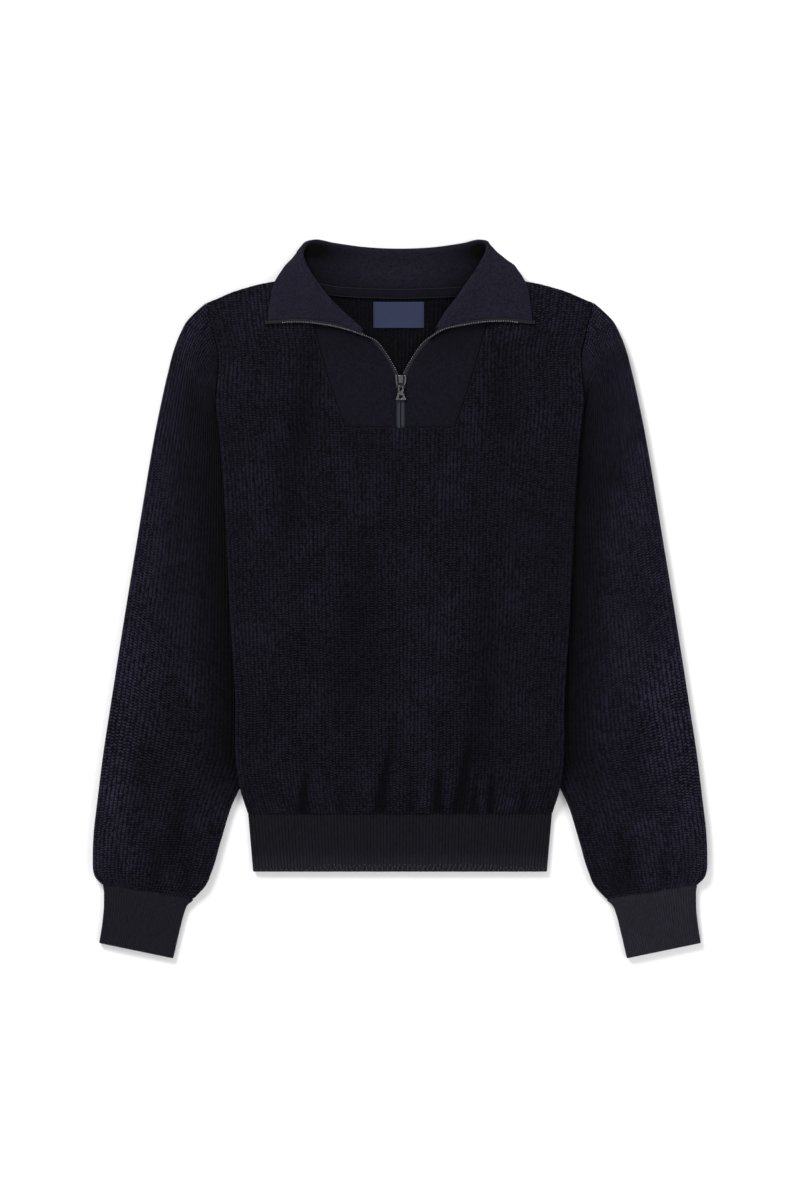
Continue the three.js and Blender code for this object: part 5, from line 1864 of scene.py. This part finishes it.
@dataclass
class Seams:
    """Stitches along the neck band, placket, armholes, hem and label."""

    form: TorsoForm
    torso: Torso

    def build(self, tree: bpy.types.NodeTree, finishes: Finishes) -> list[bpy.types.Object]:
        """Makes every run of stitches.

        Args:
            tree: the shared Geometry Nodes tree.
            finishes: the garment's finishes.

        Returns:
            The pieces.
        """
        return [self.neck_line(tree, finishes), self.placket_line(tree, finishes),
                self.armhole_lines(tree, finishes), self.hem_line(tree, finishes), self.label_line(tree, finishes)]

    def neck_line(self, tree: bpy.types.NodeTree, finishes: Finishes) -> bpy.types.Object:
        """Makes the linking above and below the neck band."""
        x = np.linspace(*NECK_BAND_SPAN, 60)
        seam = read(self.form.back_neck, "x", "high", np.abs(x))
        upper = np.stack([x, seam + 4.9, np.full_like(x, 6.9)], axis=1)
        lower = np.stack([x, seam - 3.9, np.full_like(x, 4.9)], axis=1)
        return Run("neck_linking", 2.1, 1.5, 0.7, 0.6, loose=0.25, seed=3).build(
            tree, [(upper, self.up(60)), (lower, self.up(60))], finishes.thread)

    def placket_line(self, tree: bpy.types.NodeTree, finishes: Finishes) -> bpy.types.Object:
        """Makes the linking round the placket, on the front just outside its edge; its seam yarn, darker than the
        knit, is partly painted shade along the placket's edge.
        """
        high = np.linspace(444, 536, 40)
        half = self.form.placket_half(high) + 0.9
        across = np.linspace(-half[0], half[0], 50)[1:-1]
        x = np.concatenate([-half[::-1], across, half])
        high = np.concatenate([high[::-1], np.full(48, 443.7), high])
        level = self.torso.surface(x, high) - 0.35
        return Run("placket_linking", 2.3, 1.9, 0.8, 0.6, loose=0.2, seed=5).build(
            tree, [(np.stack([x, high, level], axis=1), self.up(len(x)))], finishes.seam)

    def armhole_lines(self, tree: bpy.types.NodeTree, finishes: Finishes) -> bpy.types.Object:
        """Makes the fashioning marks inside each armhole, in two lines."""
        paths = []
        for side in Side:
            for inset in (4.5, 8.5):
                high = np.linspace(488, 562, 40)
                x = side.value * (self.form.half(high) - inset)
                level = self.torso.surface(x, high) - 0.15
                paths.append((np.stack([x, high, level], axis=1), self.up(40)))
        return Run("armhole_fashioning", 5.6, 2.4, 1.1, 0.7, turn=0.35, loose=0.15, seed=7).build(
            tree, paths, finishes.seam)

    def hem_line(self, tree: bpy.types.NodeTree, finishes: Finishes) -> bpy.types.Object:
        """Makes the bound-off loops above the hem's lower edge, in the bright bound-off yarn that paints the
        highlight where they catch the light.
        """
        paths = []
        for high, start, end in ((1.9, -144, 144), (4.2, -90, 142), (6.4, -76, 96)):
            x = np.linspace(start, end, 120)
            level = np.full_like(x, 6.25)
            rough = 1.3 * uneven(x, np.full_like(x, high * 40), 5.5, 4)
            paths.append((np.stack([x, np.maximum(high + rough, 1.1), level], axis=1), self.up(120)))
        loops = Run("hem_bound_off", 5.1, 1.8, 0.9, 0.6, turn=0.4, loose=1.2, seed=9)
        return loops.build(tree, paths, finishes.bound)

    def label_line(self, tree: bpy.types.NodeTree, finishes: Finishes) -> bpy.types.Object:
        """Makes the stitches along the label's short sides."""
        low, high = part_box("label")
        paths = []
        for x in (low.x / MILLIMETRE + 1.3, high.x / MILLIMETRE - 1.3):
            along = np.linspace((low.y - HEM_EDGE_Y) / MILLIMETRE + 1.5, (high.y - HEM_EDGE_Y) / MILLIMETRE - 1.5, 20)
            paths.append((np.stack([np.full(20, x), along, np.full(20, 4.1)], axis=1), self.up(20)))
        return Run("label_stitches", 2.2, 1.5, 0.4, 0.3, seed=11).build(tree, paths, finishes.seam)

    def up(self, count: int) -> np.ndarray:
        """Directions straight away from the surface."""
        return np.tile([0.0, 0.0, 1.0], (count, 1))


LAMPS = (("key light", (-1.5, 2.2, 2.0), 1.3, 110.0), ("fill light", (2.2, -0.6, 2.2), 2.0, 45.0),
         ("low light", (-0.6, -2.6, 2.0), 2.0, 30.0))


@dataclass
class Studio:
    """Pale floor, soft lights and the camera over the middle of the photograph."""

    lens: float = 85.0
    sensor: float = 36.0
    view_tall: float = 1.2
    centre: tuple[float, float] = (0.0, -0.0012)
    cloth_level: float = 0.009
    floor_half: float = 12.0
    floor_under: float = 0.0006

    def build(self) -> None:
        """Makes the floor, the lights, the surroundings and the camera."""
        self.floor()
        for lamp in LAMPS:
            self.lamp(*lamp)
        world = bpy.data.worlds.new("studio")
        bpy.context.scene.world = world
        world.use_nodes = True
        world.node_tree.nodes["Background"].inputs["Color"].default_value = (1.0, 1.0, 1.0, 1.0)
        world.node_tree.nodes["Background"].inputs["Strength"].default_value = 0.35
        bpy.context.scene.view_settings.view_transform = "Standard"
        camera = bpy.data.cameras.new("camera")
        camera.lens = self.lens
        camera.sensor_width = self.sensor
        camera.sensor_fit = "AUTO"
        camera.clip_end = 50.0
        holder = linked("camera", camera)
        away = self.view_tall * self.lens / self.sensor
        holder.location = (self.centre[0], self.centre[1], self.cloth_level + away)
        bpy.context.scene.camera = holder

    def floor(self) -> None:
        """Makes the floor."""
        made, graph, shader = new_material("pale floor")
        place = graph.node("ShaderNodeTexCoord").outputs["Object"]
        noise = graph.node("ShaderNodeTexNoise", Vector=place, Scale=3.0, Detail=1.0)
        graph.feed(shader.inputs["Base Color"], graph.mix(
            noise.outputs["Fac"], (0.90, 0.90, 0.90, 1), (0.93, 0.93, 0.93, 1)))
        shader.inputs["Roughness"].default_value = 0.9
        shader.inputs["Specular IOR Level"].default_value = 0.1
        half, low = self.floor_half, -self.floor_under
        mesh = bpy.data.meshes.new("floor")
        mesh.from_pydata([(-half, -half, low), (half, -half, low), (half, half, low), (-half, half, low)], [],
                         [(0, 1, 2, 3)])
        finished_object("floor", mesh, made)

    def lamp(self, name: str, place: tuple[float, float, float], size: float, power: float) -> None:
        """Makes a soft square light that faces the garment.

        Args:
            name: the light's name.
            place: where it stands, in metres.
            size: its side, in metres.
            power: its power, in watts.
        """
        light = bpy.data.lights.new(name, "AREA")
        light.size = size
        light.energy = power
        holder = linked(name, light)
        holder.location = place
        holder.rotation_euler = (-Vector(place)).to_track_quat("-Z", "Y").to_euler()
        holder.visible_camera = False


def main() -> None:
    """Builds the studio and the garment."""
    logging.basicConfig(level=logging.INFO, format="%(message)s")
    Studio().build()
    finishes = make_finishes()
    tree = items_tree()
    form = TorsoForm()
    neck = Neck(form)
    slots = {"rib": "rib_knit", "band": "band_knit", "smooth": "smooth_knit", "neck_band": "smooth_knit",
             "label": "woven_label", "tape": "zip_tape_cloth", "bound": "band_knit", "thread": "smooth_knit",
             "seam": "smooth_knit", "metal": "zip_metal", "dark": "zip_metal", "teeth": "zip_metal"}
    slot_of = {getattr(finishes, key).name: slot for key, slot in slots.items()}
    torso = Torso(form)
    pieces = torso.build(finishes)
    for part in (sleeve(Side.LEFT, form), sleeve(Side.RIGHT, form), cuff(Side.LEFT, form), cuff(Side.RIGHT, form),
                 hem(form), neck):
        pieces += part.build(finishes)
    pieces += Zip(neck).build(tree, finishes)
    pieces += Seams(form, torso).build(tree, finishes)
    hardware = Hardware()
    pull = hardware.pull(finishes)
    pieces += [hardware.trim(finishes), pull]
    for piece in pieces:
        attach(piece, PULL_BODY if piece is pull else CLOTH_BODY)
        LOG.info("%s: %d faces", piece.name, len(piece.data.polygons))


if __name__ == "__main__":
    main()
